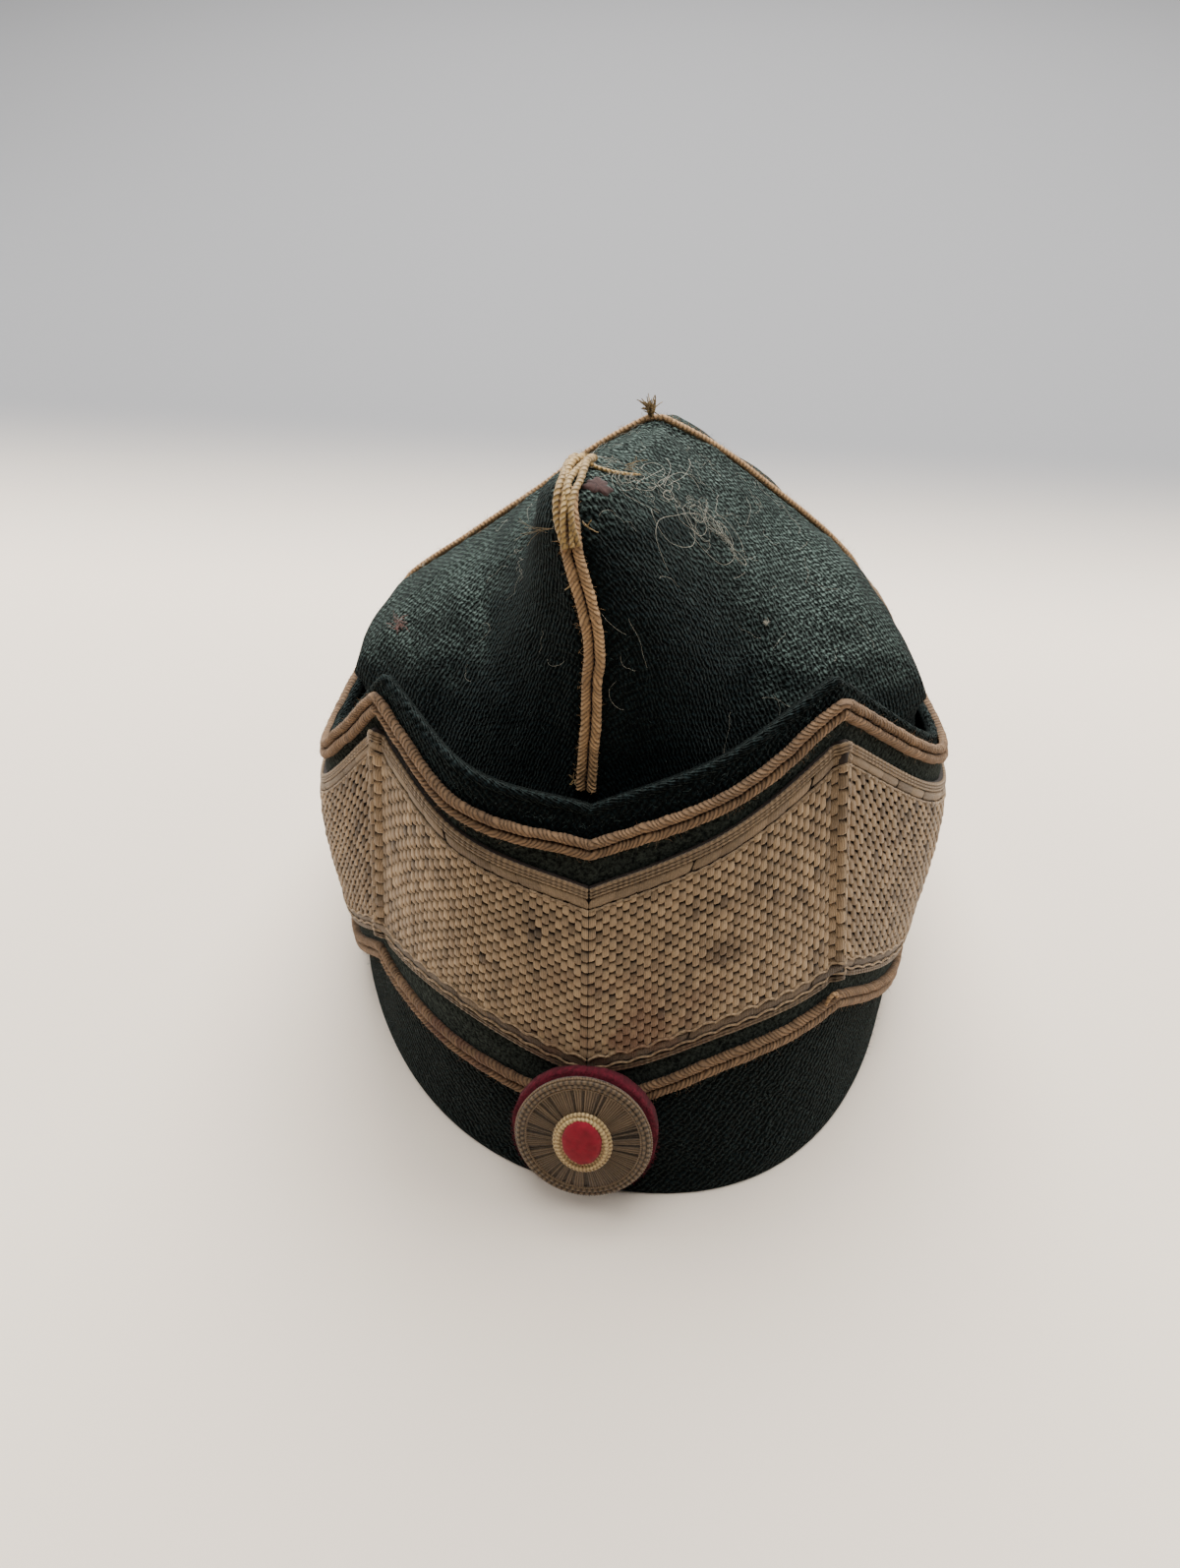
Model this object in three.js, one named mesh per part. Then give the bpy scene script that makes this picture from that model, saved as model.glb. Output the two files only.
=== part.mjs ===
// A soft wool side cap, opened out and standing on its rim.
// Millimetres, +Z up. The front of the cap faces -Y, and the wearer's left is at +X.

import * as THREE from "three";

// The rim, a rounded oval round the head whose front swings a little towards +X.
const RIM_HALF_WIDTH = 69;
const RIM_HALF_LENGTH = 100;
const RIM_ROUNDNESS = 2.3;
const RIM_CENTRE_X = 0.3;
const RIM_CENTRE_Y = -3;
const RIM_SWING = 7.5;
const RIM_SWING_POWER = 1.5;

// Thicknesses, and the clearances between sewn layers and between panels at a seam.
const CROWN_CLOTH = 1.8;
const TURN_UP_CLOTH = 2.2;
const LACE_THICKNESS = 1.3;
const LACE_GAP = 0.5;
const LAYER_GAP = 0.3;
const SEAM_GAP = 0.5;
const SEAM_MITRE = 0.4;
const SEAM_LIMIT = 0.25;

// The turn-up, a row for each section round the cap. turn is degrees round the rim from -Y towards
// +X. The edge columns are the top edge, and belly is how far the wall swells out between rim and
// edge. The last four columns are the heights of the two braids and of the lace's two edges.
// The sections named here are the ones where the wall is creased. BELLY_SKEW lifts the widest part of
// the belly: at 1 it would be halfway up.
const BELLY_SKEW = 1.6;
const FRONT = -4.5;
const RIGHT_CORNER = 41;
const LEFT_CORNER = -52.5;
const BACK = 180;
const CREASES = [-BACK, LEFT_CORNER, FRONT, RIGHT_CORNER, BACK];
const TURN_UP_SECTIONS = table(
  ["turn", "edgeX", "edgeY", "height", "belly", "braidTop", "laceTop", "laceFoot", "braidFoot"],
  [
    [-BACK, 0, 82, 68, 3, 64, 57.5, 14, 8],
    [-134, -29, 67, 68.5, 3, 64.5, 58, 14.5, 8.5],
    [-119, -40.5, 51, 69, 3.5, 65, 58.5, 15, 9],
    [-103, -51.5, 28, 70.5, 5, 66.5, 60, 16.5, 10.5],
    [-90, -58, -2, 72.5, 5.5, 68.5, 62, 18.5, 12],
    [-67, -61, -43, 75, 3.5, 71, 64, 21, 14],
    [LEFT_CORNER, -44.5, -54.5, 101, 0, 96, 90, 34, 28],
    [-31, -26.5, -70, 93, 0, 85.5, 80.5, 38, 27],
    [FRONT, -2.7, -71, 86, 0, 79, 71, 29.5, 22],
    [15, 21.5, -62.5, 93, 0, 86, 80, 38, 32],
    [RIGHT_CORNER, 42, -48.5, 103, 0, 98, 92, 39.5, 34],
    [70, 67, -30, 75, 3.5, 71, 64, 20, 13.5],
    [90, 61.5, 0, 72.5, 5.5, 68.5, 62, 18.5, 12],
    [103, 57, 28, 70.5, 4.5, 66.5, 60, 16.5, 10.5],
    [119, 46.5, 51, 69, 3.5, 65, 58.5, 15, 9],
    [134, 34, 67, 68.5, 3, 64.5, 58, 14.5, 8.5],
    [BACK, 0, 82, 68, 3, 64, 57.5, 14, 8],
  ],
);
const EDGE_ROUNDING = 0.6;

// Stretches of the turn-up between two turns, with the number of steps in each.
// The tuck that folds the lace over at each front corner spans a turn to either side of the corner.
const TUCK_HALF_TURN = 1.2;
const TUCK_HEIGHT = 1.4;
const RIGHT_STRETCHES = [
  [FRONT, RIGHT_CORNER - TUCK_HALF_TURN, 8],
  [RIGHT_CORNER - TUCK_HALF_TURN, RIGHT_CORNER, 1],
  [RIGHT_CORNER, RIGHT_CORNER + TUCK_HALF_TURN, 1],
  [RIGHT_CORNER + TUCK_HALF_TURN, 72, 8],
  [72, BACK, 14],
];
const LEFT_STRETCHES = [
  [-BACK, -70, 14],
  [-70, LEFT_CORNER - TUCK_HALF_TURN, 6],
  [LEFT_CORNER - TUCK_HALF_TURN, LEFT_CORNER, 1],
  [LEFT_CORNER, LEFT_CORNER + TUCK_HALF_TURN, 1],
  [LEFT_CORNER + TUCK_HALF_TURN, FRONT, 8],
];
const TURN_UP_ROWS = [0, 0.11, 0.22, 0.34, 0.46, 0.58, 0.7, 0.82, 0.95, 1];
const LACE_ROWS = [0, 0.25, 0.5, 0.75, 1];

// The crown, a row for each rib from the top centre down into the turn-up. bearing is degrees round
// the top centre from -Y towards +X. The other columns are four points down the rib, each a reach
// from the top centre's axis and a height above the floor.
const CROWN_TOP_X = 2.5;
const CROWN_TOP_Y = 12;
const CROWN_TOP_HEIGHT = 122;
const FRONT_SEAM = -5;
const RIGHT_SEAM = 95;
const LEFT_SEAM = -78;
const BACK_SEAM = 180;
const CROWN_RIBS = table(
  [
    "bearing", "topReach", "topHeight", "foldReach", "foldHeight",
    "faceReach", "faceHeight", "collarReach", "collarHeight",
  ],
  [
    [-BACK_SEAM, 20, 112, 44, 98, 60, 85, 66, 71],
    [-148, 17, 108, 36, 91.5, 54, 77.5, 60, 72],
    [-115, 13, 110.5, 28, 94, 43, 80.5, 51, 73],
    [-93, 12.5, 113.5, 26, 100.5, 45.5, 83, 54.5, 74],
    [LEFT_SEAM, 12, 115.5, 24.3, 106.3, 49, 88.8, 60.5, 76.5],
    [-60, 15, 116, 33, 106, 52.5, 95, 68, 80],
    [-45, 18, 118, 38, 109, 57, 96, 71, 80],
    [-31, 20, 121, 38, 115.5, 56, 101, 72, 80],
    [FRONT_SEAM, 24, 127.5, 51, 134, 63, 117, 76, 81],
    [21, 20, 122, 38, 118, 56, 101, 72, 80],
    [36, 18, 118, 38, 109, 57, 96, 70, 80],
    [60, 15, 116, 33, 106, 53.3, 95, 68, 80],
    [RIGHT_SEAM, 12, 115.5, 24.3, 106.3, 42.7, 90.6, 54, 77],
    [122, 13, 114, 28, 100, 43, 85.5, 51, 73],
    [150, 17, 112.5, 36, 97, 54, 82, 60, 72],
    [BACK_SEAM, 20, 112, 44, 98, 60, 85, 66, 71],
  ],
);
const CROWN_WAIST_HEIGHT = 38;
const CROWN_FOOT_HEIGHT = 0.5;
const CROWN_EASE = 1.2;
const APEX_PART = 0.2;
const CROWN_ROWS = [
  0.02, 0.06, 0.1, 0.15, 0.2, 0.25, 0.3, 0.34, 0.38, 0.43, 0.48, 0.54, 0.6, 0.64, 0.67, 0.69,
  0.74, 0.83, 1,
];

// The crown's front tip leans towards -X between these heights, fully at the front of the cap and
// not at all near the top centre.
const TIP_LEAN = 8.6;
const TIP_LEAN_FROM_HEIGHT = 107;
const TIP_LEAN_TO_HEIGHT = 140;
const TIP_LEAN_FROM_REACH = 10;
const TIP_LEAN_TO_REACH = 45;

// The soft sides swell out over the edge of the turn-up.
const SIDE_SWELLS = [
  { bearing: -66, spread: 14, reach: 7 },
  { bearing: 70, spread: 15, reach: 5.2 },
];
const SIDE_SWELL_FROM_HEIGHT = 75.5;
const SIDE_SWELL_FULL_HEIGHT = 79.5;
const SIDE_SWELL_FADE_HEIGHT = 82;
const SIDE_SWELL_TO_HEIGHT = 95;

// The narrow two-ribbed braid, and the thin piping in the seam over the crown. Their ends are given
// as parts of the way down a rib of the crown.
const BRAID_WIDTH = 4.8;
const BRAID_HEIGHT = 1.9;
const BRAID_GROOVE = 1.0;
const BRAID_SHOULDER = 1.05;
const BRAID_RIB = 1.5;
const FRONT_BRAID_TOP = 0.27;
const FRONT_BRAID_FOOT = 0.65;
const FRONT_BRAID_STEPS = 22;
const PIPING_RADIUS = 0.8;
const PIPING_TOP = 0.03;
const PIPING_FOOT = 0.64;
const PIPING_SIDES = 6;
const PIPING_POINTS = 18;
const PIPING_STEPS = 44;

// Half the gap at the lace's mitre and join, in degrees of turn.
const LACE_END_TURN = 0.3;

// The round cockade low at the front: a pad, a domed disc, a ring of cord and a centre.
const COCKADE_HEIGHT = 18.5;
const COCKADE_STAND_OFF = 2.6;
const COCKADE_SIDES = 36;
const PAD_RADIUS = 15;
const PAD_THICKNESS = 2.6;
const DISC_PROFILE = [{ radius: 14.3, height: 0 }, { radius: 14.3, height: 1.3 },
  { radius: 10, height: 2 }, { radius: 4, height: 2.2 }];
const RING_RADIUS = 5.7;
const RING_WIRE = 1.0;
const RING_WIRE_SIDES = 8;
const CENTRE_PROFILE = [{ radius: 4.3, height: 0 }, { radius: 4.3, height: 1 },
  { radius: 3, height: 1.7 }, { radius: 1, height: 2 }];

// The shift that puts the middle of the finished cap over the origin.
const SHIFT_X = -0.9;
const SHIFT_Y = 4.3;

const MATERIALS = {
  green_wool: { color: 0x16292a, roughness: 0.95, metalness: 0 },
  tan_lace: { color: 0x9a8262, roughness: 0.6, metalness: 0.15 },
  tan_braid: { color: 0x94764f, roughness: 0.7, metalness: 0.1 },
  maroon_wool: { color: 0x56182a, roughness: 0.95, metalness: 0 },
  silver_thread: { color: 0x7d7561, roughness: 0.5, metalness: 0.3 },
  gold_thread: { color: 0xb79a5e, roughness: 0.5, metalness: 0.3 },
  red_felt: { color: 0xa51f2b, roughness: 0.95, metalness: 0 },
};

const { clamp, degToRad, lerp, radToDeg, smoothstep } = THREE.MathUtils;

// Rows of values under named columns.
function table(columns, rows) {
  return rows.map((row) => Object.fromEntries(row.map((value, index) => [columns[index], value])));
}

// A smooth value of one column between the rows of a table. The first and last rows and the ones at
// the given corners keep a corner.
function between(rows, key, at, column, corners = []) {
  let index = 0;
  while (index < rows.length - 2 && rows[index + 1][key] < at) index += 1;
  const here = rows[index];
  const next = rows[index + 1];
  const span = next[key] - here[key];
  const part = (at - here[key]) / span;
  const slope = (before, after) => (after[column] - before[column]) / (after[key] - before[key]);
  const rise = next[column] - here[column];
  const smoothStart = index > 0 && !corners.includes(here[key]);
  const smoothEnd = index < rows.length - 2 && !corners.includes(next[key]);
  const start = smoothStart ? slope(rows[index - 1], next) * span : rise;
  const end = smoothEnd ? slope(here, rows[index + 2]) * span : rise;
  const square = part * part;
  const cube = square * part;
  return here[column] + start * (cube - 2 * square + part) + end * (cube - square)
    + rise * (3 * square - 2 * cube);
}

function evenSteps(from, to, count) {
  return Array.from({ length: count + 1 }, (_, index) => lerp(from, to, index / count));
}

// How far the front of the rim has swung aside at a distance along the cap.
function rimSwing(along) {
  return RIM_SWING * Math.max(0, -along / RIM_HALF_LENGTH) ** RIM_SWING_POWER;
}

// The rim oval, and the level direction out of it.
function rimPoint(turn) {
  const angle = degToRad(turn);
  const rounded = (value) => Math.sign(value) * Math.abs(value) ** (2 / RIM_ROUNDNESS);
  const across = RIM_HALF_WIDTH * rounded(Math.sin(angle));
  const along = -RIM_HALF_LENGTH * rounded(Math.cos(angle));
  return new THREE.Vector3(RIM_CENTRE_X + across + rimSwing(along), RIM_CENTRE_Y + along, 0);
}

function rimOutward(turn) {
  const step = 1;
  const along = rimPoint(turn + step).sub(rimPoint(turn - step));
  return new THREE.Vector3(along.y, -along.x, 0).normalize();
}

// One column of the turn-up's table at a turn.
function section(turn, column) {
  return between(TURN_UP_SECTIONS, "turn", turn, column, CREASES);
}

// The outer face of the turn-up at a height above the floor.
function turnUpFace(turn, height) {
  const edgeHeight = section(turn, "height");
  const edge = new THREE.Vector3(section(turn, "edgeX"), section(turn, "edgeY"), edgeHeight);
  const part = height / edgeHeight;
  const swell = section(turn, "belly") * Math.sin(Math.PI * Math.max(part, 0) ** BELLY_SKEW);
  return rimPoint(turn).lerp(edge, part).addScaledVector(rimOutward(turn), swell);
}

// The direction out of a face that is given by two values.
function outOf(face, first, second, firstStep, secondStep) {
  const along = face(first + firstStep, second).sub(face(first - firstStep, second));
  const up = face(first, second + secondStep).sub(face(first, second - secondStep));
  return along.cross(up).normalize();
}

function turnUpOut(turn, height) {
  const step = 0.3;
  return outOf(turnUpFace, clamp(turn, step - BACK, BACK - step), height, step, step);
}

function offTurnUp(turn, height, distance) {
  return turnUpFace(turn, height).addScaledVector(turnUpOut(turn, height), distance);
}

// How far the turn-up's inside, less the crown's ease, lies from the top centre's axis at a bearing
// and a height.
function insideReach(bearing, height) {
  const halvings = 24;
  const inset = TURN_UP_CLOTH + CROWN_EASE;
  const inner = (turn) => turnUpFace(turn, height).addScaledVector(rimOutward(turn), -inset)
    .sub(new THREE.Vector3(CROWN_TOP_X, CROWN_TOP_Y, height));
  let low = -BACK;
  let high = BACK;
  for (let halving = 0; halving < halvings; halving += 1) {
    const middle = (low + high) / 2;
    const point = inner(middle);
    if (radToDeg(Math.atan2(point.x, -point.y)) < bearing) low = middle;
    else high = middle;
  }
  return inner(low).length();
}

// The outer face of the crown. down runs along a rib from 0 at the top centre to 1 at the foot.
function crownFace(bearing, down) {
  const wrapped = bearing > BACK_SEAM ? bearing - 360 : bearing;
  const sideways = Math.sin(degToRad(wrapped));
  const forwards = -Math.cos(degToRad(wrapped));
  const points = [new THREE.Vector2(0, CROWN_TOP_HEIGHT)];
  for (const name of ["top", "fold", "face", "collar"]) {
    points.push(new THREE.Vector2(
      between(CROWN_RIBS, "bearing", wrapped, `${name}Reach`),
      between(CROWN_RIBS, "bearing", wrapped, `${name}Height`),
    ));
  }
  const collar = points.at(-1);
  collar.x = Math.min(collar.x, insideReach(wrapped, collar.y));
  for (const height of [CROWN_WAIST_HEIGHT, CROWN_FOOT_HEIGHT]) {
    points.push(new THREE.Vector2(insideReach(wrapped, height), height));
  }
  const { x: plainReach, y: height } = new THREE.SplineCurve(points).getPoint(down);
  let fullness = 0;
  for (const side of SIDE_SWELLS) {
    fullness += side.reach * Math.exp(-(((wrapped - side.bearing) / side.spread) ** 2));
  }
  const swell = fullness
    * smoothstep(height, SIDE_SWELL_FROM_HEIGHT, SIDE_SWELL_FULL_HEIGHT)
    * (1 - smoothstep(height, SIDE_SWELL_FADE_HEIGHT, SIDE_SWELL_TO_HEIGHT));
  const reach = plainReach + swell;
  const leanHere = TIP_LEAN * smoothstep(height, TIP_LEAN_FROM_HEIGHT, TIP_LEAN_TO_HEIGHT)
    * smoothstep(-reach * forwards, TIP_LEAN_FROM_REACH, TIP_LEAN_TO_REACH);
  return new THREE.Vector3(
    CROWN_TOP_X + reach * sideways - leanHere, CROWN_TOP_Y + reach * forwards, height,
  );
}

function crownOut(bearing, down) {
  const upward = (at, up) => crownFace(at, 1 - up);
  const bearingStep = 0.6;
  const downStep = 0.004;
  return outOf(upward, bearing, 1 - down, bearingStep, downStep);
}

// A closed body from points and triangles, turned so that its faces point out.
function solid(points, triangles) {
  const volume = triangles.reduce((sum, [a, b, c]) => (
    sum + points[a].dot(points[b].clone().cross(points[c]))
  ), 0);
  const facing = volume > 0 ? triangles : triangles.map(([a, b, c]) => [a, c, b]);
  const geometry = new THREE.BufferGeometry().setFromPoints(points);
  geometry.setIndex(facing.flat());
  geometry.computeVertexNormals();
  return geometry;
}

// Triangles across one end of a loft. Its loop runs along one face and back along the other, so
// opposite points are joined in a zigzag.
function endCap(sides, at, turned) {
  const triangles = [];
  let low = 0;
  let high = sides - 1;
  while (high - low > 1) {
    triangles.push([at(low), at(high), at(low + 1)]);
    low += 1;
    if (high - low > 1) triangles.push([at(low), at(high), at(high - 1)]);
    high -= 1;
  }
  return turned ? triangles.map(([a, b, c]) => [a, c, b]) : triangles;
}

// A closed body through loops of points, each loop joined to the next. Its two ends are capped, or
// joined to each other where ring is true.
function loft(loops, ring = false) {
  const sides = loops[0].length;
  const count = loops.length;
  const at = (loop, side) => (loop % count) * sides + (side % sides);
  const triangles = [];
  for (let loop = 0; loop < (ring ? count : count - 1); loop += 1) {
    for (let side = 0; side < sides; side += 1) {
      triangles.push([at(loop, side), at(loop, side + 1), at(loop + 1, side + 1)]);
      triangles.push([at(loop, side), at(loop + 1, side + 1), at(loop + 1, side)]);
    }
  }
  if (!ring) {
    triangles.push(...endCap(sides, (side) => at(0, side), false));
    triangles.push(...endCap(sides, (side) => at(count - 1, side), true));
  }
  return solid(loops.flat(), triangles);
}

// A wall as a loft: at each step one loop goes along the outer face and back along the inner one.
function wall(columns, outer, inner, ring = false) {
  return loft(columns.map((column) => [...outer(column), ...inner(column).reverse()]), ring);
}

const sideCap = new THREE.Group();

function addPiece(name, material, geometry) {
  const piece = new THREE.Mesh(geometry, new THREE.MeshStandardMaterial(MATERIALS[material]));
  piece.name = name;
  sideCap.add(piece);
}

// The turns of a list of stretches, without the last turn.
function turnsOver(stretches) {
  return stretches.flatMap(([from, to, count]) => evenSteps(from, to, count).slice(0, -1));
}

// The turn-up: a wall round the whole cap, with a flat foot and a rounded top edge.
function turnUp() {
  const face = (turn, depth) => TURN_UP_ROWS.map((part) => {
    const rounding = part === 1 ? EDGE_ROUNDING * (depth > 0 ? 1 : -1) : 0;
    const point = turnUpFace(turn, part * section(turn, "height"));
    return point.addScaledVector(rimOutward(turn), rounding - depth);
  });
  addPiece("turn_up", "green_wool", wall(
    turnsOver([...LEFT_STRETCHES, ...RIGHT_STRETCHES]),
    (turn) => face(turn, 0), (turn) => face(turn, TURN_UP_CLOTH), true,
  ));
}

// One panel of the crown between the seams at two bearings, kept clear of its neighbours.
function crownPanel(name, from, to, columns) {
  const axis = new THREE.Vector3(CROWN_TOP_X, CROWN_TOP_Y, 0);
  const clearOfSeam = (bearing, down, depth) => {
    const reach = crownFace(bearing, down).setZ(0).distanceTo(axis);
    const gapAngle = radToDeg((SEAM_GAP / 2 + SEAM_MITRE * depth) / reach);
    const inward = Math.min(gapAngle, SEAM_LIMIT * (to - from));
    return lerp(from + inward, to - inward, (bearing - from) / (to - from));
  };
  const face = (bearing, depth) => CROWN_ROWS.map((down) => {
    const clear = clearOfSeam(bearing, down, depth);
    const upright = 1 - smoothstep(down, 0, APEX_PART);
    const out = crownOut(clear, down).lerp(new THREE.Vector3(0, 0, 1), upright).normalize();
    const point = crownFace(clear, down).addScaledVector(out, -depth);
    return point.setZ(Math.max(point.z, CROWN_FOOT_HEIGHT));
  });
  addPiece(name, "green_wool", wall(
    evenSteps(from, to, columns), (bearing) => face(bearing, 0), (bearing) => face(bearing, CROWN_CLOTH),
  ));
}

// Half of the lace, between the mitre at the front centre and the join at the back centre, with a
// tuck standing up at the corner.
function lace(name, stretches, corner) {
  const turns = [...turnsOver(stretches), stretches.at(-1)[1]];
  const columns = [turns[0] + LACE_END_TURN, ...turns.slice(1, -1), turns.at(-1) - LACE_END_TURN];
  const face = (turn, lift, raised) => LACE_ROWS.map((part) => {
    const height = lerp(section(turn, "laceFoot"), section(turn, "laceTop"), part);
    return offTurnUp(turn, height, lift + raised);
  });
  const tuckHeight = (turn) => (turn === corner ? TUCK_HEIGHT : 0);
  addPiece(name, "tan_lace", wall(
    columns, (turn) => face(turn, LACE_GAP + LACE_THICKNESS, tuckHeight(turn)),
    (turn) => face(turn, LACE_GAP, 0),
  ));
}

// The outline of the braid: two ribs with a groove between them, on a flat foot.
function braidOutline() {
  const half = BRAID_WIDTH / 2;
  return [
    [-half, 0], [-half, BRAID_SHOULDER], [-BRAID_RIB, BRAID_HEIGHT], [0, BRAID_GROOVE],
    [BRAID_RIB, BRAID_HEIGHT], [half, BRAID_SHOULDER], [half, 0],
  ];
}

// Braid laid on a face along a route: at each step a point, the way out of the face and the way
// across the braid.
function braid(name, route, ring) {
  const loops = route.map(({ point, out, across }) => braidOutline().map(([aside, up]) => (
    point.clone().addScaledVector(across, aside).addScaledVector(out, up + LAYER_GAP)
  )));
  addPiece(name, "tan_braid", loft(loops, ring));
}

// A ring of braid round the turn-up, at the heights in one column of its table.
function turnUpBraid(name, column) {
  const route = turnsOver([...LEFT_STRETCHES, ...RIGHT_STRETCHES]).map((turn) => {
    const height = section(turn, column);
    const across = turnUpFace(turn, height + 1).sub(turnUpFace(turn, height - 1)).normalize();
    return { point: turnUpFace(turn, height), out: turnUpOut(turn, height), across };
  });
  braid(name, route, true);
}

// The braid up the front seam of the crown and over its tip.
function frontSeamBraid() {
  const step = 0.01;
  const route = evenSteps(FRONT_BRAID_FOOT, FRONT_BRAID_TOP, FRONT_BRAID_STEPS).map((down) => {
    const out = crownOut(FRONT_SEAM, down);
    const along = crownFace(FRONT_SEAM, down - step).sub(crownFace(FRONT_SEAM, down + step));
    return { point: crownFace(FRONT_SEAM, down), out, across: along.cross(out).normalize() };
  });
  braid("front_seam_soutache", route, false);
}

// The thin piping in the seam over the crown, from one side to the other.
function crossSeamPiping() {
  const half = (bearing) => evenSteps(PIPING_FOOT, PIPING_TOP, PIPING_POINTS).map((down) => (
    crownFace(bearing, down).addScaledVector(crownOut(bearing, down), PIPING_RADIUS + LAYER_GAP)
  ));
  const path = new THREE.CatmullRomCurve3([...half(LEFT_SEAM), ...half(RIGHT_SEAM).reverse()]);
  const frames = path.computeFrenetFrames(PIPING_STEPS);
  const loops = evenSteps(0, 1, PIPING_STEPS).map((part, index) => (
    circle(PIPING_SIDES, PIPING_RADIUS, (aside, up) => path.getPointAt(part)
      .addScaledVector(frames.normals[index], aside)
      .addScaledVector(frames.binormals[index], up))
  ));
  addPiece("cross_seam_piping", "tan_braid", loft(loops));
}

// A loop of points round a circle, each placed by its two coordinates in the circle's plane.
function circle(sides, radius, place) {
  return Array.from({ length: sides }, (_, index) => {
    const angle = (2 * Math.PI * (index + 0.5)) / sides;
    return place(radius * Math.cos(angle), radius * Math.sin(angle));
  });
}

// The cockade, built up in layers out of the front wall.
function cockade() {
  const out = turnUpOut(FRONT, COCKADE_HEIGHT);
  const up = turnUpFace(FRONT, COCKADE_HEIGHT + 1).sub(turnUpFace(FRONT, COCKADE_HEIGHT)).normalize();
  const aside = up.clone().cross(out);
  const padFace = offTurnUp(FRONT, COCKADE_HEIGHT, COCKADE_STAND_OFF + PAD_THICKNESS);
  const place = (across, rise, lift) => padFace.clone().addScaledVector(aside, across)
    .addScaledVector(up, rise).addScaledVector(out, lift);
  const millimetresPerDegree = rimPoint(FRONT + 0.5).distanceTo(rimPoint(FRONT - 0.5));
  const wallBehind = (across, rise) => {
    const turn = FRONT + across / millimetresPerDegree;
    const behind = turnUpFace(turn, COCKADE_HEIGHT + rise * up.z);
    const depth = padFace.clone().sub(behind).dot(out);
    return place(across, rise, COCKADE_STAND_OFF - depth);
  };
  addPiece("cockade_base", "maroon_wool", loft([
    circle(COCKADE_SIDES, PAD_RADIUS, wallBehind),
    circle(COCKADE_SIDES, PAD_RADIUS, (across, rise) => place(across, rise, 0)),
  ]));
  const turned = (profile, lift) => loft(profile.map(({ radius, height }) => (
    circle(COCKADE_SIDES, radius, (across, rise) => place(across, rise, lift + height))
  )));
  addPiece("cockade_disc", "silver_thread", turned(DISC_PROFILE, LAYER_GAP));
  const discTop = LAYER_GAP + DISC_PROFILE.at(-1).height + LAYER_GAP;
  addPiece("cockade_centre", "red_felt", turned(CENTRE_PROFILE, discTop));
  const wireLoops = circle(COCKADE_SIDES, 1, (across, rise) => (
    circle(RING_WIRE_SIDES, RING_WIRE, (outwards, lift) => {
      const radius = RING_RADIUS + outwards;
      return place(across * radius, rise * radius, discTop + RING_WIRE + lift);
    })
  ));
  addPiece("cockade_ring", "gold_thread", loft(wireLoops, true));
}

turnUp();
crownPanel("crown_front_right", FRONT_SEAM, RIGHT_SEAM, 12);
crownPanel("crown_rear_right", RIGHT_SEAM, BACK_SEAM, 8);
crownPanel("crown_rear_left", BACK_SEAM, 360 + LEFT_SEAM, 9);
crownPanel("crown_front_left", LEFT_SEAM, FRONT_SEAM, 10);
lace("lace_right", RIGHT_STRETCHES, RIGHT_CORNER);
lace("lace_left", LEFT_STRETCHES, LEFT_CORNER);
turnUpBraid("upper_soutache", "braidTop");
turnUpBraid("lower_soutache", "braidFoot");
frontSeamBraid();
crossSeamPiping();
cockade();

sideCap.position.set(SHIFT_X, SHIFT_Y, 0);

export default sideCap;
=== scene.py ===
"""The looks of a soft wool side cap with woven lace, standing open on its rim."""
import math
import bpy
import numpy as np
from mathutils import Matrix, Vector


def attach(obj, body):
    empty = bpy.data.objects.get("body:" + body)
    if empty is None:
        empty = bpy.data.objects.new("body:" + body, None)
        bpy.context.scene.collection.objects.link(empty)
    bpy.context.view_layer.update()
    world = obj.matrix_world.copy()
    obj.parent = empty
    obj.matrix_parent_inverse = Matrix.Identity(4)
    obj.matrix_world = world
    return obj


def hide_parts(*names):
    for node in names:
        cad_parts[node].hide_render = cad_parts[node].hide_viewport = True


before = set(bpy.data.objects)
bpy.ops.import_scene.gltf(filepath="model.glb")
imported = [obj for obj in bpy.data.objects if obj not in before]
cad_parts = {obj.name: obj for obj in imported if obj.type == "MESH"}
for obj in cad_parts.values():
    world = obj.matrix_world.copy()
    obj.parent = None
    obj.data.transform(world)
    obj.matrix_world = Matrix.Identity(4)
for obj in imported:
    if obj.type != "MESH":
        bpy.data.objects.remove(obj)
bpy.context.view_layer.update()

FULL_TURN = 2 * math.pi

# All shapes are worked out in millimetres and shifted onto the part's origin at the end.
MILLIMETRE = 0.001
SHIFT = np.array([-0.9, 4.3, 0.0])

# The rim, thicknesses and gaps, as in the part's solids.
RIM_HALF_WIDTH = 69
RIM_HALF_LENGTH = 100
RIM_ROUNDNESS = 2.3
RIM_CENTRE_X = 0.3
RIM_CENTRE_Y = -3
RIM_SWING = 7.5
RIM_SWING_POWER = 1.5
CROWN_CLOTH = 1.8
TURN_UP_CLOTH = 2.2
LACE_GAP = 0.5
LAYER_GAP = 0.3
CROWN_EASE = 1.2

# The wall of the turn-up swells most above its middle: 1 would be halfway up.
BELLY_SKEW = 1.6


def table(columns, rows):
    """Named columns from rows of values."""
    values = np.array(rows, float)
    return {name: values[:, index] for index, name in enumerate(columns)}


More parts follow.
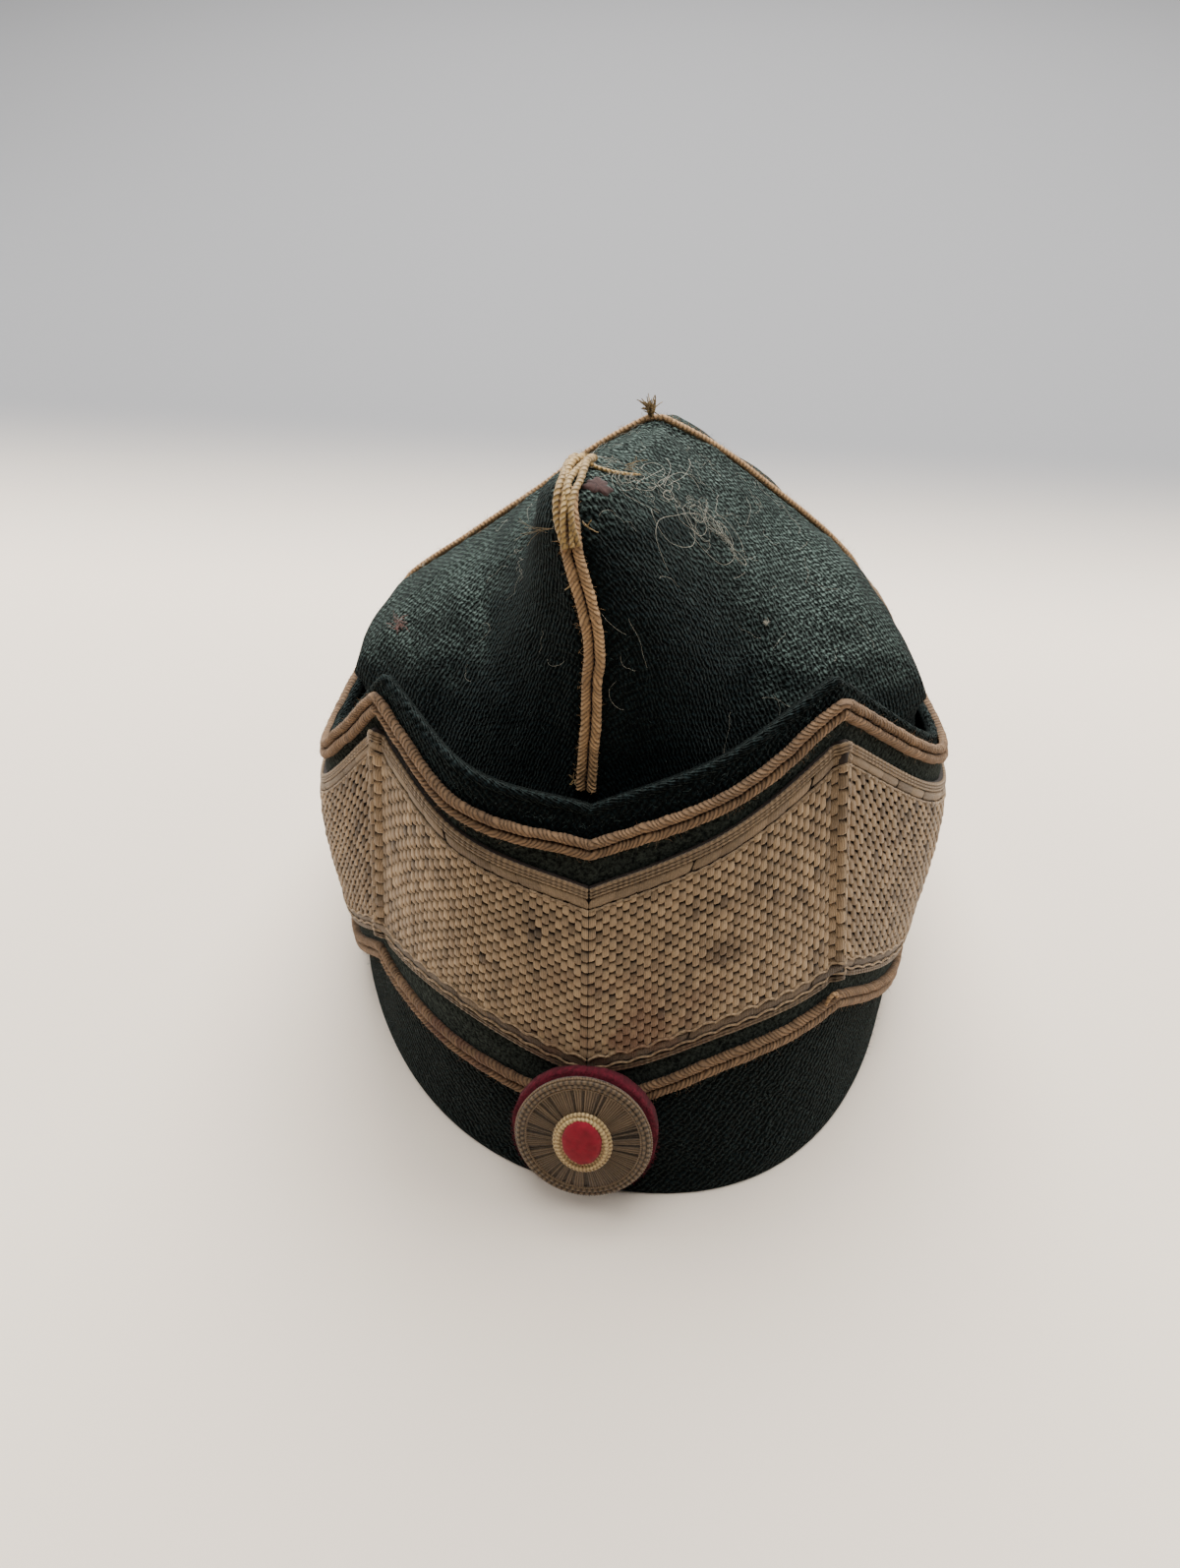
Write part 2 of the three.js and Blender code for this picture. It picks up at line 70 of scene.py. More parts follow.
# The turn-up's sections round the cap: top edge, swell of the wall, and heights of braid and lace.
FRONT = -4.5
RIGHT_CORNER = 41
LEFT_CORNER = -52.5
BACK = 180
CREASES = (-BACK, LEFT_CORNER, FRONT, RIGHT_CORNER, BACK)
SECTIONS = table(
    ("turn", "edge_x", "edge_y", "height", "belly", "braid_top", "lace_top", "lace_foot", "braid_foot"),
    [
        (-BACK, 0, 82, 68, 3, 64, 57.5, 14, 8),
        (-134, -29, 67, 68.5, 3, 64.5, 58, 14.5, 8.5),
        (-119, -40.5, 51, 69, 3.5, 65, 58.5, 15, 9),
        (-103, -51.5, 28, 70.5, 5, 66.5, 60, 16.5, 10.5),
        (-90, -58, -2, 72.5, 5.5, 68.5, 62, 18.5, 12),
        (-67, -61, -43, 75, 3.5, 71, 64, 21, 14),
        (LEFT_CORNER, -44.5, -54.5, 101, 0, 96, 90, 34, 28),
        (-31, -26.5, -70, 93, 0, 85.5, 80.5, 38, 27),
        (FRONT, -2.7, -71, 86, 0, 79, 71, 29.5, 22),
        (15, 21.5, -62.5, 93, 0, 86, 80, 38, 32),
        (RIGHT_CORNER, 42, -48.5, 103, 0, 98, 92, 39.5, 34),
        (70, 67, -30, 75, 3.5, 71, 64, 20, 13.5),
        (90, 61.5, 0, 72.5, 5.5, 68.5, 62, 18.5, 12),
        (103, 57, 28, 70.5, 4.5, 66.5, 60, 16.5, 10.5),
        (119, 46.5, 51, 69, 3.5, 65, 58.5, 15, 9),
        (134, 34, 67, 68.5, 3, 64.5, 58, 14.5, 8.5),
        (BACK, 0, 82, 68, 3, 64, 57.5, 14, 8),
    ],
)

# The crown's ribs round its top centre, each four points of reach and height.
CROWN_TOP_X = 2.5
CROWN_TOP_Y = 12
CROWN_TOP_HEIGHT = 122
FRONT_SEAM = -5
RIGHT_SEAM = 95
LEFT_SEAM = -78
BACK_SEAM = 180
RIBS = table(
    (
        "bearing", "top_reach", "top_height", "fold_reach", "fold_height",
        "face_reach", "face_height", "collar_reach", "collar_height",
    ),
    [
        (-BACK_SEAM, 20, 112, 44, 98, 60, 85, 66, 71),
        (-148, 17, 108, 36, 91.5, 54, 77.5, 60, 72),
        (-115, 13, 110.5, 28, 94, 43, 80.5, 51, 73),
        (-93, 12.5, 113.5, 26, 100.5, 45.5, 83, 54.5, 74),
        (LEFT_SEAM, 12, 115.5, 24.3, 106.3, 49, 88.8, 60.5, 76.5),
        (-60, 15, 116, 33, 106, 52.5, 95, 68, 80),
        (-45, 18, 118, 38, 109, 57, 96, 71, 80),
        (-31, 20, 121, 38, 115.5, 56, 101, 72, 80),
        (FRONT_SEAM, 24, 127.5, 51, 134, 63, 117, 76, 81),
        (21, 20, 122, 38, 118, 56, 101, 72, 80),
        (36, 18, 118, 38, 109, 57, 96, 70, 80),
        (60, 15, 116, 33, 106, 53.3, 95, 68, 80),
        (RIGHT_SEAM, 12, 115.5, 24.3, 106.3, 42.7, 90.6, 54, 77),
        (122, 13, 114, 28, 100, 43, 85.5, 51, 73),
        (150, 17, 112.5, 36, 97, 54, 82, 60, 72),
        (BACK_SEAM, 20, 112, 44, 98, 60, 85, 66, 71),
    ],
)
CROWN_WAIST_HEIGHT = 38
CROWN_FOOT_HEIGHT = 0.5
TIP_LEAN = 8.6
TIP_LEAN_HEIGHTS = (107, 140)
TIP_LEAN_REACHES = (10, 45)
SIDE_SWELLS = table(("bearing", "spread", "reach"), [(-66, 14, 7), (70, 15, 5.2)])
SIDE_SWELL_RISE = (75.5, 79.5)
SIDE_SWELL_FADE = (82, 95)


# Surfaces of the cap.

def between(rows, key, at, column, corners=()):
    """A smooth value of one column between the rows, with corners kept at the given keys."""
    keys = rows[key]
    values = rows[column]
    at = np.asarray(at, float)
    index = np.clip(np.searchsorted(keys, at) - 1, 0, len(keys) - 2)
    span = keys[index + 1] - keys[index]
    part = (at - keys[index]) / span
    rise = values[index + 1] - values[index]
    slope = np.zeros(len(keys))
    slope[1:-1] = (values[2:] - values[:-2]) / (keys[2:] - keys[:-2])
    sharp = np.isin(keys, corners)
    sharp[[0, -1]] = True
    start = np.where(sharp[index], rise, slope[index] * span)
    end = np.where(sharp[index + 1], rise, slope[index + 1] * span)
    square = part ** 2
    cube = part ** 3
    bend = start * (cube - 2 * square + part) + end * (cube - square)
    return values[index] + bend + rise * (3 * square - 2 * cube)


def smooth_step(value, low, high):
    part = np.clip((value - low) / (high - low), 0, 1)
    return part * part * (3 - 2 * part)


def hump(distance, width):
    """1 at no distance, fading softly over the width."""
    return np.exp(-(distance / width) ** 2)


def unit(vectors):
    return vectors / np.maximum(np.linalg.norm(vectors, axis=-1, keepdims=True), 1e-9)


def rim_point(turn):
    angle = np.radians(turn)

    def rounded(value):
        return np.sign(value) * np.abs(value) ** (2 / RIM_ROUNDNESS)

    along = -RIM_HALF_LENGTH * rounded(np.cos(angle))
    swing = RIM_SWING * np.maximum(0, -along / RIM_HALF_LENGTH) ** RIM_SWING_POWER
    across = RIM_HALF_WIDTH * rounded(np.sin(angle)) + swing
    return np.stack([RIM_CENTRE_X + across, RIM_CENTRE_Y + along, 0 * along], axis=-1)


def rim_outward(turn):
    along = rim_point(turn + 1.0) - rim_point(turn - 1.0)
    return unit(np.stack([along[..., 1], -along[..., 0], 0 * along[..., 0]], axis=-1))


def section(turn, column):
    return between(SECTIONS, "turn", turn, column, CREASES)


def turn_up_face(turn, height):
    """Points on the outer face of the turn-up."""
    turn, height = np.broadcast_arrays(np.asarray(turn, float), np.asarray(height, float))
    top = section(turn, "height")
    edge = np.stack([section(turn, "edge_x"), section(turn, "edge_y"), top], axis=-1)
    part = (height / top)[..., None]
    swell = section(turn, "belly")[..., None] * np.sin(math.pi * np.maximum(part, 0) ** BELLY_SKEW)
    return rim_point(turn) * (1 - part) + edge * part + rim_outward(turn) * swell


def turn_up_out(turn, height):
    """Directions out of the turn-up."""
    step = 0.3
    turn = np.clip(turn, step - BACK, BACK - step)
    along = turn_up_face(turn + step, height) - turn_up_face(turn - step, height)
    up = turn_up_face(turn, height + step) - turn_up_face(turn, height - step)
    return unit(np.cross(along, up))


def turn_up_up(turn, height):
    """Directions up the face of the turn-up."""
    return unit(turn_up_face(turn, height + 1) - turn_up_face(turn, height))


def inside_reach(bearing, height):
    """How far the turn-up's inside, less the crown's ease, lies from the top centre's axis."""
    halvings = 24
    inset = TURN_UP_CLOTH + CROWN_EASE
    centre = np.array([CROWN_TOP_X, CROWN_TOP_Y, 0])

    def inner(turn):
        point = turn_up_face(turn, height) - inset * rim_outward(turn) - centre
        return point[..., 0], point[..., 1]

    low = np.full(np.shape(bearing), -float(BACK))
    high = np.full(np.shape(bearing), float(BACK))
    for _ in range(halvings):
        middle = (low + high) / 2
        x, y = inner(middle)
        before = np.degrees(np.arctan2(x, -y)) < bearing
        low = np.where(before, middle, low)
        high = np.where(before, high, middle)
    return np.hypot(*inner(low))


def crown_ribs(bearing):
    """The points of reach and height down the ribs at some bearings."""
    points = [np.stack([0 * bearing, 0 * bearing + CROWN_TOP_HEIGHT], axis=-1)]
    for name in ("top", "fold", "face", "collar"):
        reach = between(RIBS, "bearing", bearing, name + "_reach")
        height = between(RIBS, "bearing", bearing, name + "_height")
        if name == "collar":
            reach = np.minimum(reach, inside_reach(bearing, height))
        points.append(np.stack([reach, height], axis=-1))
    for height in (CROWN_WAIST_HEIGHT, CROWN_FOOT_HEIGHT):
        level = np.full(np.shape(bearing), float(height))
        points.append(np.stack([inside_reach(bearing, level), level], axis=-1))
    return np.stack(points, axis=-2)


def crown_face(bearing, down):
    """Points on the crown, one for each bearing and part of the way down its rib."""
    bearing, down = np.broadcast_arrays(np.asarray(bearing, float), np.asarray(down, float))
    wrapped = np.where(bearing > BACK_SEAM, bearing - 360, bearing)
    wrapped = np.where(wrapped < -BACK_SEAM, wrapped + 360, wrapped)
    single, place = np.unique(wrapped, return_inverse=True)
    ribs = crown_ribs(single)[place.reshape(wrapped.shape)]
    last = ribs.shape[-2] - 1
    index = np.clip(np.floor(down * last).astype(int), 0, last - 1)
    weight = (down * last - index)[..., None]

    def control(offset):
        chosen = np.clip(index + offset, 0, last)[..., None, None]
        return np.take_along_axis(ribs, np.repeat(chosen, 2, axis=-1), axis=-2)[..., 0, :]

    before, here, after, beyond = (control(offset) for offset in (-1, 0, 1, 2))
    start = (after - before) / 2
    end = (beyond - here) / 2
    cubic = (2 * here - 2 * after + start + end) * weight ** 3
    square = (-3 * here + 3 * after - 2 * start - end) * weight ** 2
    spot = cubic + square + start * weight + here
    height = spot[..., 1]
    humps = hump(wrapped[..., None] - SIDE_SWELLS["bearing"], SIDE_SWELLS["spread"])
    swell = (SIDE_SWELLS["reach"] * humps).sum(axis=-1)
    swell = swell * smooth_step(height, *SIDE_SWELL_RISE) * (1 - smooth_step(height, *SIDE_SWELL_FADE))
    reach = spot[..., 0] + swell
    sideways = np.sin(np.radians(wrapped))
    forwards = -np.cos(np.radians(wrapped))
    lean = TIP_LEAN * smooth_step(height, *TIP_LEAN_HEIGHTS)
    lean = lean * smooth_step(-reach * forwards, *TIP_LEAN_REACHES)
    x = CROWN_TOP_X + reach * sideways - lean
    return np.stack([x, CROWN_TOP_Y + reach * forwards, height], axis=-1)


def crown_out(bearing, down):
    """Directions out of the crown."""
    turn_step = 0.6
    down_step = 0.004
    along = crown_face(bearing + turn_step, down) - crown_face(bearing - turn_step, down)
    up = crown_face(bearing, down - down_step) - crown_face(bearing, down + down_step)
    return unit(np.cross(along, up))


def crown_spot(bearing, down, lift):
    """One point at a height over the crown."""
    return crown_face(bearing, down) + crown_out(np.array(bearing), np.array(down)) * lift


def ripple(points, length, seed, waves=14):
    """Smooth unevenness over points, about -1 to 1, with bumps of about the given length."""
    dice = np.random.default_rng(seed)
    ways = unit(dice.normal(size=(waves, 3))) * dice.uniform(0.6, 1.5, (waves, 1))
    phases = dice.uniform(0, FULL_TURN, waves)
    turns = points @ (ways * (FULL_TURN / length)).T + phases
    return np.sin(turns).sum(axis=-1) / math.sqrt(waves)


def ripples(points, rows):
    """Unevenness added up from rows of height, length and seed."""
    return sum(height * ripple(points, length, seed) for height, length, seed in rows)


# Meshes.

def grid_faces(columns, rows, wrap=False, flip=False):
    """Quads of a grid of points that runs down its columns."""
    column = np.arange(columns if wrap else columns - 1)[:, None]
    row = np.arange(rows - 1)[None, :]
    here = column * rows + row
    beside = ((column + 1) % columns) * rows + row
    order = [here, here + 1, beside + 1, beside] if flip else [here, beside, beside + 1, here + 1]
    return np.stack(order, axis=-1).reshape(-1, 4)


def row_face(columns, rows, row):
    """One face that closes a wrapped grid at one of its rows."""
    return [column * rows + row for column in range(columns)]


def add_mesh(name, points, faces, material, nodes, place=None, tint=None, felt=None):
    """A mesh piece on the cap: place holds its cloth coordinates, tint and felt its shades."""
    points = (np.asarray(points, float).reshape(-1, 3) + SHIFT) * MILLIMETRE
    mesh = bpy.data.meshes.new(name)
    mesh.from_pydata(points.tolist(), [], [list(map(int, face)) for face in faces])
    corner_points = np.zeros(len(mesh.loops), dtype=np.int32)
    mesh.loops.foreach_get("vertex_index", corner_points)
    if place is not None:
        layer = mesh.uv_layers.new(name="cloth")
        layer.data.foreach_set("uv", np.asarray(place, float).reshape(-1, 2)[corner_points].ravel())
    for label, values in (("tint", tint), ("felt", felt)):
        if values is not None:
            shade = mesh.attributes.new(label, "FLOAT", "POINT")
            shade.data.foreach_set("value", np.asarray(values, float).ravel())
    mesh.polygons.foreach_set("use_smooth", np.full(len(mesh.polygons), True))
    mesh.materials.append(material)
    mesh.update()
    piece = bpy.data.objects.new(name, mesh)
    bpy.context.collection.objects.link(piece)
    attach(piece, "root")
    if nodes:
        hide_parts(*nodes)


def tube(path, out, across, radius, sides, closed=False, twist=None, ridge=0.0):
    """Points and faces of a tube along a path. Its radius swells by ridge where twist turns it."""
    angle = np.arange(sides) * FULL_TURN / sides
    radius = np.broadcast_to(np.asarray(radius, float), (len(path),))
    size = np.repeat(radius[:, None], sides, axis=1)
    if twist is not None:
        size = size * (1 + ridge * np.cos(twist[:, None] + 2 * angle[None, :]))
    offsets = np.cos(angle)[None, :, None] * across[:, None, :]
    offsets = offsets + np.sin(angle)[None, :, None] * out[:, None, :]
    points = path[:, None, :] + size[..., None] * offsets
    steps = len(path)
    step = np.arange(steps if closed else steps - 1)[:, None]
    side = np.arange(sides)[None, :]
    here = step * sides
    ahead = ((step + 1) % steps) * sides
    beside = (side + 1) % sides
    faces = np.stack([here + side, here + beside, ahead + beside, ahead + side], axis=-1)
    faces = faces.reshape(-1, 4).tolist()
    if not closed:
        faces.append(list(range(sides))[::-1])
        faces.append([(steps - 1) * sides + index for index in range(sides)])
    return points.reshape(-1, 3), faces


def twisted_place(length, sides, turn):
    """Cloth places on a tube whose threads run round it, one turn in the given length."""
    angle = np.arange(sides) / sides
    along = length[:, None] + turn * angle[None, :]
    return np.stack([along, 0 * along + angle[None, :]], axis=-1).reshape(-1, 2)


def joined(parts):
    """Several lists of points and faces as one."""
    points = []
    faces = []
    count = 0
    for part_points, part_faces in parts:
        points.append(part_points)
        faces.extend([[index + count for index in face] for face in part_faces])
        count += len(part_points)
    return np.concatenate(points), faces


class Bundle:
    """Threads gathered into one piece, with their shades and cloth places."""

    def __init__(self):
        self.parts = []
        self.tints = []
        self.places = []

    def add(self, part, tint, place=None):
        self.parts.append(part)
        self.tints.append(tint)
        if place is not None:
            self.places.append(place)

    def piece(self, name, material, nodes, slot):
        points, faces = joined(self.parts)
        place = np.concatenate(self.places) if self.places else None
        add_mesh(name, points, faces, material, nodes, place, tint=np.concatenate(self.tints))


def path_frame(path, out, closed=False):
    """Directions out of and across a path that lies on a surface."""
    ahead = np.roll(path, -1, axis=0) - np.roll(path, 1, axis=0)
    if not closed:
        ahead[0] = path[1] - path[0]
        ahead[-1] = path[-1] - path[-2]
    ahead = unit(ahead)
    across = unit(np.cross(ahead, out))
    return unit(np.cross(across, ahead)), across


def lengths_along(path):
    """The length from the start of a path to each of its points."""
    return np.concatenate([[0], np.cumsum(np.linalg.norm(np.diff(path, axis=0), axis=1))])


def sample(at, places, vectors):
    """Vectors read between the places where they are given."""
    return np.stack([np.interp(at, places, vectors[:, axis]) for axis in range(3)], axis=1)


def even_path(path, out, spacing, closed=False):
    """A path in even steps: its points, directions out of and across it, and lengths along it."""
    if closed:
        path = np.concatenate([path, path[:1]])
        out = np.concatenate([out, out[:1]])
    lengths = lengths_along(path)
    index = np.arange(len(path))
    even = np.linspace(0, lengths[-1], int(lengths[-1] / spacing), endpoint=not closed)
    place = np.interp(even, lengths, index)
    path = sample(place, index, path)
    out, across = path_frame(path, unit(sample(place, index, out)), closed)
    return path, out, across, even


def fibres(roots, ways, lengths, radius, curl, points_each, seed):
    """Thin curling fibres of three sides from roots along ways."""
    dice = np.random.default_rng(seed)
    sides = 3
    count = len(roots)
    step = lengths[:, None] / (points_each - 1)
    way = unit(ways)
    bend = dice.normal(size=(count, 3)) * curl
    path = [np.asarray(roots, float)]
    for _ in range(points_each - 1):
        way = unit(way + bend + dice.normal(size=(count, 3)) * curl * 0.6)
        path.append(path[-1] + way * step)
    path = np.stack(path, axis=1)
    side = unit(np.cross(way, dice.normal(size=(count, 3))))
    other = unit(np.cross(way, side))
    angle = np.arange(sides) * FULL_TURN / sides
    taper = np.linspace(1, 0.5, points_each)
    ring = np.cos(angle)[:, None] * side[:, None, :] + np.sin(angle)[:, None] * other[:, None, :]
    points = path[:, :, None, :] + radius * taper[None, :, None, None] * ring[:, None, :, :]
    here = np.arange(count)[:, None, None] * points_each * sides
    row = np.arange(points_each - 1)[None, :, None] * sides
    side_index = np.arange(sides)[None, None, :]
    first = here + row + side_index
    second = here + row + (side_index + 1) % sides
    faces = np.stack([first, second, second + sides, first + sides], axis=-1).reshape(-1, 4)
    return points.reshape(-1, 3), faces


# Materials.

def colour(red, green, blue):
    """A linear colour from display values of 0 to 255."""
    linear = [((value / 255 + 0.055) / 1.055) ** 2.4 if value > 10 else value / 255 / 12.92
              for value in (red, green, blue)]
    return (*linear, 1.0)


class Nodes:
    """A node material under construction."""

    def __init__(self, name):
        self.material = bpy.data.materials.new(name)
        self.material.use_nodes = True
        self.tree = self.material.node_tree
        self.tree.nodes.clear()
        self.shader = self.tree.nodes.new("ShaderNodeBsdfPrincipled")
        output = self.tree.nodes.new("ShaderNodeOutputMaterial")
        self.tree.links.new(self.shader.outputs["BSDF"], output.inputs["Surface"])

    def add(self, kind, **settings):
        node = self.tree.nodes.new("ShaderNode" + kind)
        for key, value in settings.items():
            setattr(node, key, value)
        return node

    def feed(self, socket, value):
        if isinstance(value, bpy.types.NodeSocket):
            self.tree.links.new(value, socket)
        else:
            socket.default_value = value

    def math(self, operation, first, second=0.0, clamp=False):
        node = self.add("Math", operation=operation, use_clamp=clamp)
        self.feed(node.inputs[0], first)
        self.feed(node.inputs[1], second)
        return node.outputs[0]

    def times(self, first, second, clamp=False):
        return self.math("MULTIPLY", first, second, clamp)

    def plus(self, first, second, clamp=False):
        return self.math("ADD", first, second, clamp)

    def less(self, first, second):
        return self.math("SUBTRACT", first, second)

    def position(self):
        return self.add("TexCoord").outputs["Object"]

    def axes(self, vector):
        node = self.add("SeparateXYZ")
        self.feed(node.inputs[0], vector)
        return node.outputs

    def cloth(self):
        """The two cloth coordinates, X and Y."""
        return self.axes(self.add("UVMap", uv_map="cloth").outputs["UV"])

    def noise(self, scale, detail=2.0, roughness=0.5):
        node = self.add("TexNoise")
        for name, number in (("Scale", scale), ("Detail", detail), ("Roughness", roughness)):
            node.inputs[name].default_value = number
        self.feed(node.inputs["Vector"], self.position())
        return node.outputs["Fac"]

    def ramp(self, value, low, high, first=0.0, last=1.0):
        node = self.add("MapRange", interpolation_type="SMOOTHSTEP")
        self.feed(node.inputs["Value"], value)
        for name, number in (("From Min", low), ("From Max", high), ("To Min", first), ("To Max", last)):
            node.inputs[name].default_value = number
        return node.outputs["Result"]

    def mix(self, part, first, second):
        node = self.add("Mix", data_type="RGBA")
        self.feed(node.inputs["Factor"], part)
        colours = [socket for socket in node.inputs if socket.type == "RGBA"]
        self.feed(colours[0], first)
        self.feed(colours[1], second)
        return next(socket for socket in node.outputs if socket.type == "RGBA")

    def attribute(self, name):
        return self.add("Attribute", attribute_name=name).outputs["Fac"]

    def near(self, spot, radius):
        """1 at a spot on the cap, given in millimetres, fading to 0 at the radius."""
        node = self.add("VectorMath", operation="DISTANCE")
        self.feed(node.inputs[0], self.position())
        node.inputs[1].default_value = tuple((np.array(spot) + SHIFT) * MILLIMETRE)
        return self.ramp(node.outputs["Value"], 0.0, radius * MILLIMETRE, 1.0, 0.0)

    def bump(self, height, distance, strength=1.0):
        node = self.add("Bump")
        node.inputs["Distance"].default_value = distance * MILLIMETRE
        node.inputs["Strength"].default_value = strength
        self.feed(node.inputs["Height"], height)
        self.feed(self.shader.inputs["Normal"], node.outputs["Normal"])

    def finish(self, base, roughness, sheen=0.0, metallic=0.0, specular=0.3):
        self.feed(self.shader.inputs["Base Color"], base)
        for name, number in (
            ("Roughness", roughness), ("Sheen Weight", sheen), ("Sheen Roughness", 0.5),
            ("Metallic", metallic), ("Specular IOR Level", specular),
        ):
            self.shader.inputs[name].default_value = number
        return self.material


# Wool: pitch and wander of its threads in millimetres, and scales of its noises for each metre.
GREEN_DARK = colour(1, 2, 2)
GREEN_LIGHT = colour(18, 28, 30)
# Pale colour of upward-facing wool: partly real soiling, partly painted light from above.
WOOL_SOIL_AND_TOP_LIGHT = colour(124, 142, 133)
WOOL_SHEEN = colour(205, 222, 214)
FELT_LIGHT = colour(52, 57, 52)
WOOL_PITCH = 0.86
WOOL_WANDER = 2.1
WANDER_SCALES = (("X", 700.0), ("Y", 560.0))
NAP_SCALE = 1300.0
PATCH_SCALE = 55.0
WEAVE_CONTRAST = 1.8
WEAVE_LOST_IN_FELT = 0.75
NAP_RELIEF = 0.7
WOOL_BUMP = 0.6


def wool(name, soil_and_top_light):
    """Coarse plain-weave wool with a fuzzy nap, paler where it faces up: partly soiled, partly painted top
    light.
    """
    nodes = Nodes(name)
    cloth = nodes.cloth()
    waves = []
    for axis, scale in WANDER_SCALES:
        wander = nodes.times(nodes.less(nodes.noise(scale), 0.5), WOOL_WANDER)
        along = nodes.plus(cloth[axis], wander)
        waves.append(nodes.math("SINE", nodes.times(along, math.pi / WOOL_PITCH)))
    grain = nodes.plus(nodes.times(nodes.times(*waves), 0.5), 0.5)
    felt = nodes.attribute("felt")
    nap = nodes.noise(NAP_SCALE, 3.0, roughness=0.7)
    weave = nodes.times(grain, nodes.less(1.0, nodes.times(felt, WEAVE_LOST_IN_FELT)))
    facing = nodes.axes(nodes.add("NewGeometry").outputs["Normal"])
    # Upward-facing wool is mixed paler: partly real soiling, partly painted top light.
    upward = nodes.times(nodes.ramp(facing["Z"], 0.55, 0.95), soil_and_top_light)
    patches = nodes.plus(nodes.times(nodes.noise(PATCH_SCALE, 3.0), 1.2), 0.5)
    # Grain tops painted lighter and the gaps between grains near black: partly the weave's pattern, partly
    # painted highlight and shade.
    shade = nodes.math("POWER", weave, WEAVE_CONTRAST)
    shade = nodes.times(shade, nodes.ramp(nap, 0.38, 0.66, 0.05, 1.9))
    shade = nodes.times(shade, patches, clamp=True)
    base = nodes.mix(shade, GREEN_DARK, nodes.mix(upward, GREEN_LIGHT, WOOL_SOIL_AND_TOP_LIGHT))
    base = nodes.mix(nodes.times(felt, nodes.ramp(nap, 0.3, 0.75)), base, FELT_LIGHT)
    nodes.bump(nodes.plus(weave, nodes.times(nap, NAP_RELIEF)), WOOL_BUMP)
    nodes.shader.inputs["Sheen Tint"].default_value = WOOL_SHEEN
    return nodes.finish(base, 0.9, sheen=0.085, specular=0.03)


THREAD_PATCH_SCALE = 70.0
TINT_SHARE = 0.7
FIBRE_SHARE = 0.3
PATCH_SHARE = 0.35
FIBRE_BUMP = 0.14
STRAND_BUMP = 0.35


def thread(name, dark, light, sheen=0.15, metallic=0.0, roughness=0.6, stain=None, grain=1800.0,
           striped=None, furrow_shade=0.3):
    """Wound or woven thread: tinted piece by piece, with fine fibres and soiling.

    Striped thread has strands of the given pitch in millimetres, with painted shade darkening the grooves
    between them by the given share.
    """
    nodes = Nodes(name)
    fine = nodes.noise(grain, 3.0)
    patches = nodes.less(nodes.noise(THREAD_PATCH_SCALE, 3.0), 0.5)
    shade = nodes.plus(nodes.times(nodes.attribute("tint"), TINT_SHARE), nodes.times(fine, FIBRE_SHARE))
    shade = nodes.plus(shade, nodes.times(patches, PATCH_SHARE), clamp=True)
    relief = fine
    depth = FIBRE_BUMP
    if striped:
        wave = nodes.math("SINE", nodes.times(nodes.cloth()["X"], math.pi / striped))
        strands = nodes.math("POWER", nodes.math("ABSOLUTE", wave), 0.6)
        # Painted shade in the grooves between strands.
        shade = nodes.times(shade, nodes.plus(nodes.times(strands, furrow_shade), 1 - furrow_shade))
        relief = nodes.plus(nodes.times(fine, 0.6), strands)
        depth = STRAND_BUMP * striped
    base = nodes.mix(shade, colour(*dark), colour(*light))
    if stain:
        base = stain(nodes, base)
    nodes.bump(relief, depth, 0.8)
    return nodes.finish(base, roughness, sheen=sheen, metallic=metallic, specular=0.35)


def lace_soiling(nodes, base):
    """A brown spot on the right half and browning low down beside the front centre."""
    spot = nodes.times(nodes.near((24.3, -77, 57), 5.5), 0.85)
    base = nodes.mix(spot, base, colour(66, 46, 26))
    low_right = nodes.times(nodes.near((8, -88, 33), 34.0), nodes.ramp(nodes.noise(160.0), 0.35, 0.65))
    return nodes.mix(nodes.times(low_right, 0.8), base, colour(100, 62, 40))


def braid_soiling(nodes, base):
    """Reddish tarnish low on the left."""
    tarnish = nodes.times(nodes.near((-30, -84, 28), 24.0), nodes.ramp(nodes.noise(240.0), 0.3, 0.6))
    return nodes.mix(nodes.times(tarnish, 0.7), base, colour(88, 56, 44))


BRAID_PITCH = 0.95
BRAID_STRANDS = {"striped": BRAID_PITCH, "furrow_shade": 0.62, "sheen": 0.05}
crown_wool = wool("crown_wool", 0.5)
turn_up_wool = wool("turn_up_wool", 0.04)
lace_thread = thread("lace_thread", (40, 26, 14), (186, 156, 118), stain=lace_soiling, striped=0.36,
                     furrow_shade=0.4)
# Ground seen between the floats: partly its own dark colour, partly painted shade in the gaps.
shaded_lace_ground = thread("shaded_lace_ground", (22, 14, 9), (46, 32, 20))
braid_thread = thread("braid_thread", (30, 19, 12), (156, 122, 88), roughness=0.8, stain=braid_soiling,
                      **BRAID_STRANDS)
front_thread = thread("front_thread", (46, 31, 19), (204, 162, 114), roughness=0.75, **BRAID_STRANDS)
stitch_thread = thread("stitch_thread", (20, 12, 9), (48, 31, 20), roughness=0.9)
maroon_wool = thread("maroon_wool", (14, 2, 6), (110, 24, 42), sheen=0.0, roughness=1.0, grain=1100.0)
silver_thread = thread("silver_thread", (16, 11, 8), (134, 110, 82), metallic=0.1, roughness=0.55)
gold_thread = thread("gold_thread", (84, 58, 28), (214, 186, 132), metallic=0.1, roughness=0.45)
red_felt = thread("red_felt", (60, 3, 16), (170, 30, 50), sheen=0.05, roughness=0.95, grain=900.0)
gold_braid = thread("gold_braid", (34, 23, 10), (204, 166, 98), roughness=0.5, striped=0.8, furrow_shade=0.75)
pale_hair = thread("pale_hair", (104, 99, 86), (196, 190, 172), roughness=0.7)
pink_lint = thread("pink_lint", (50, 33, 30), (142, 98, 88), roughness=0.9)
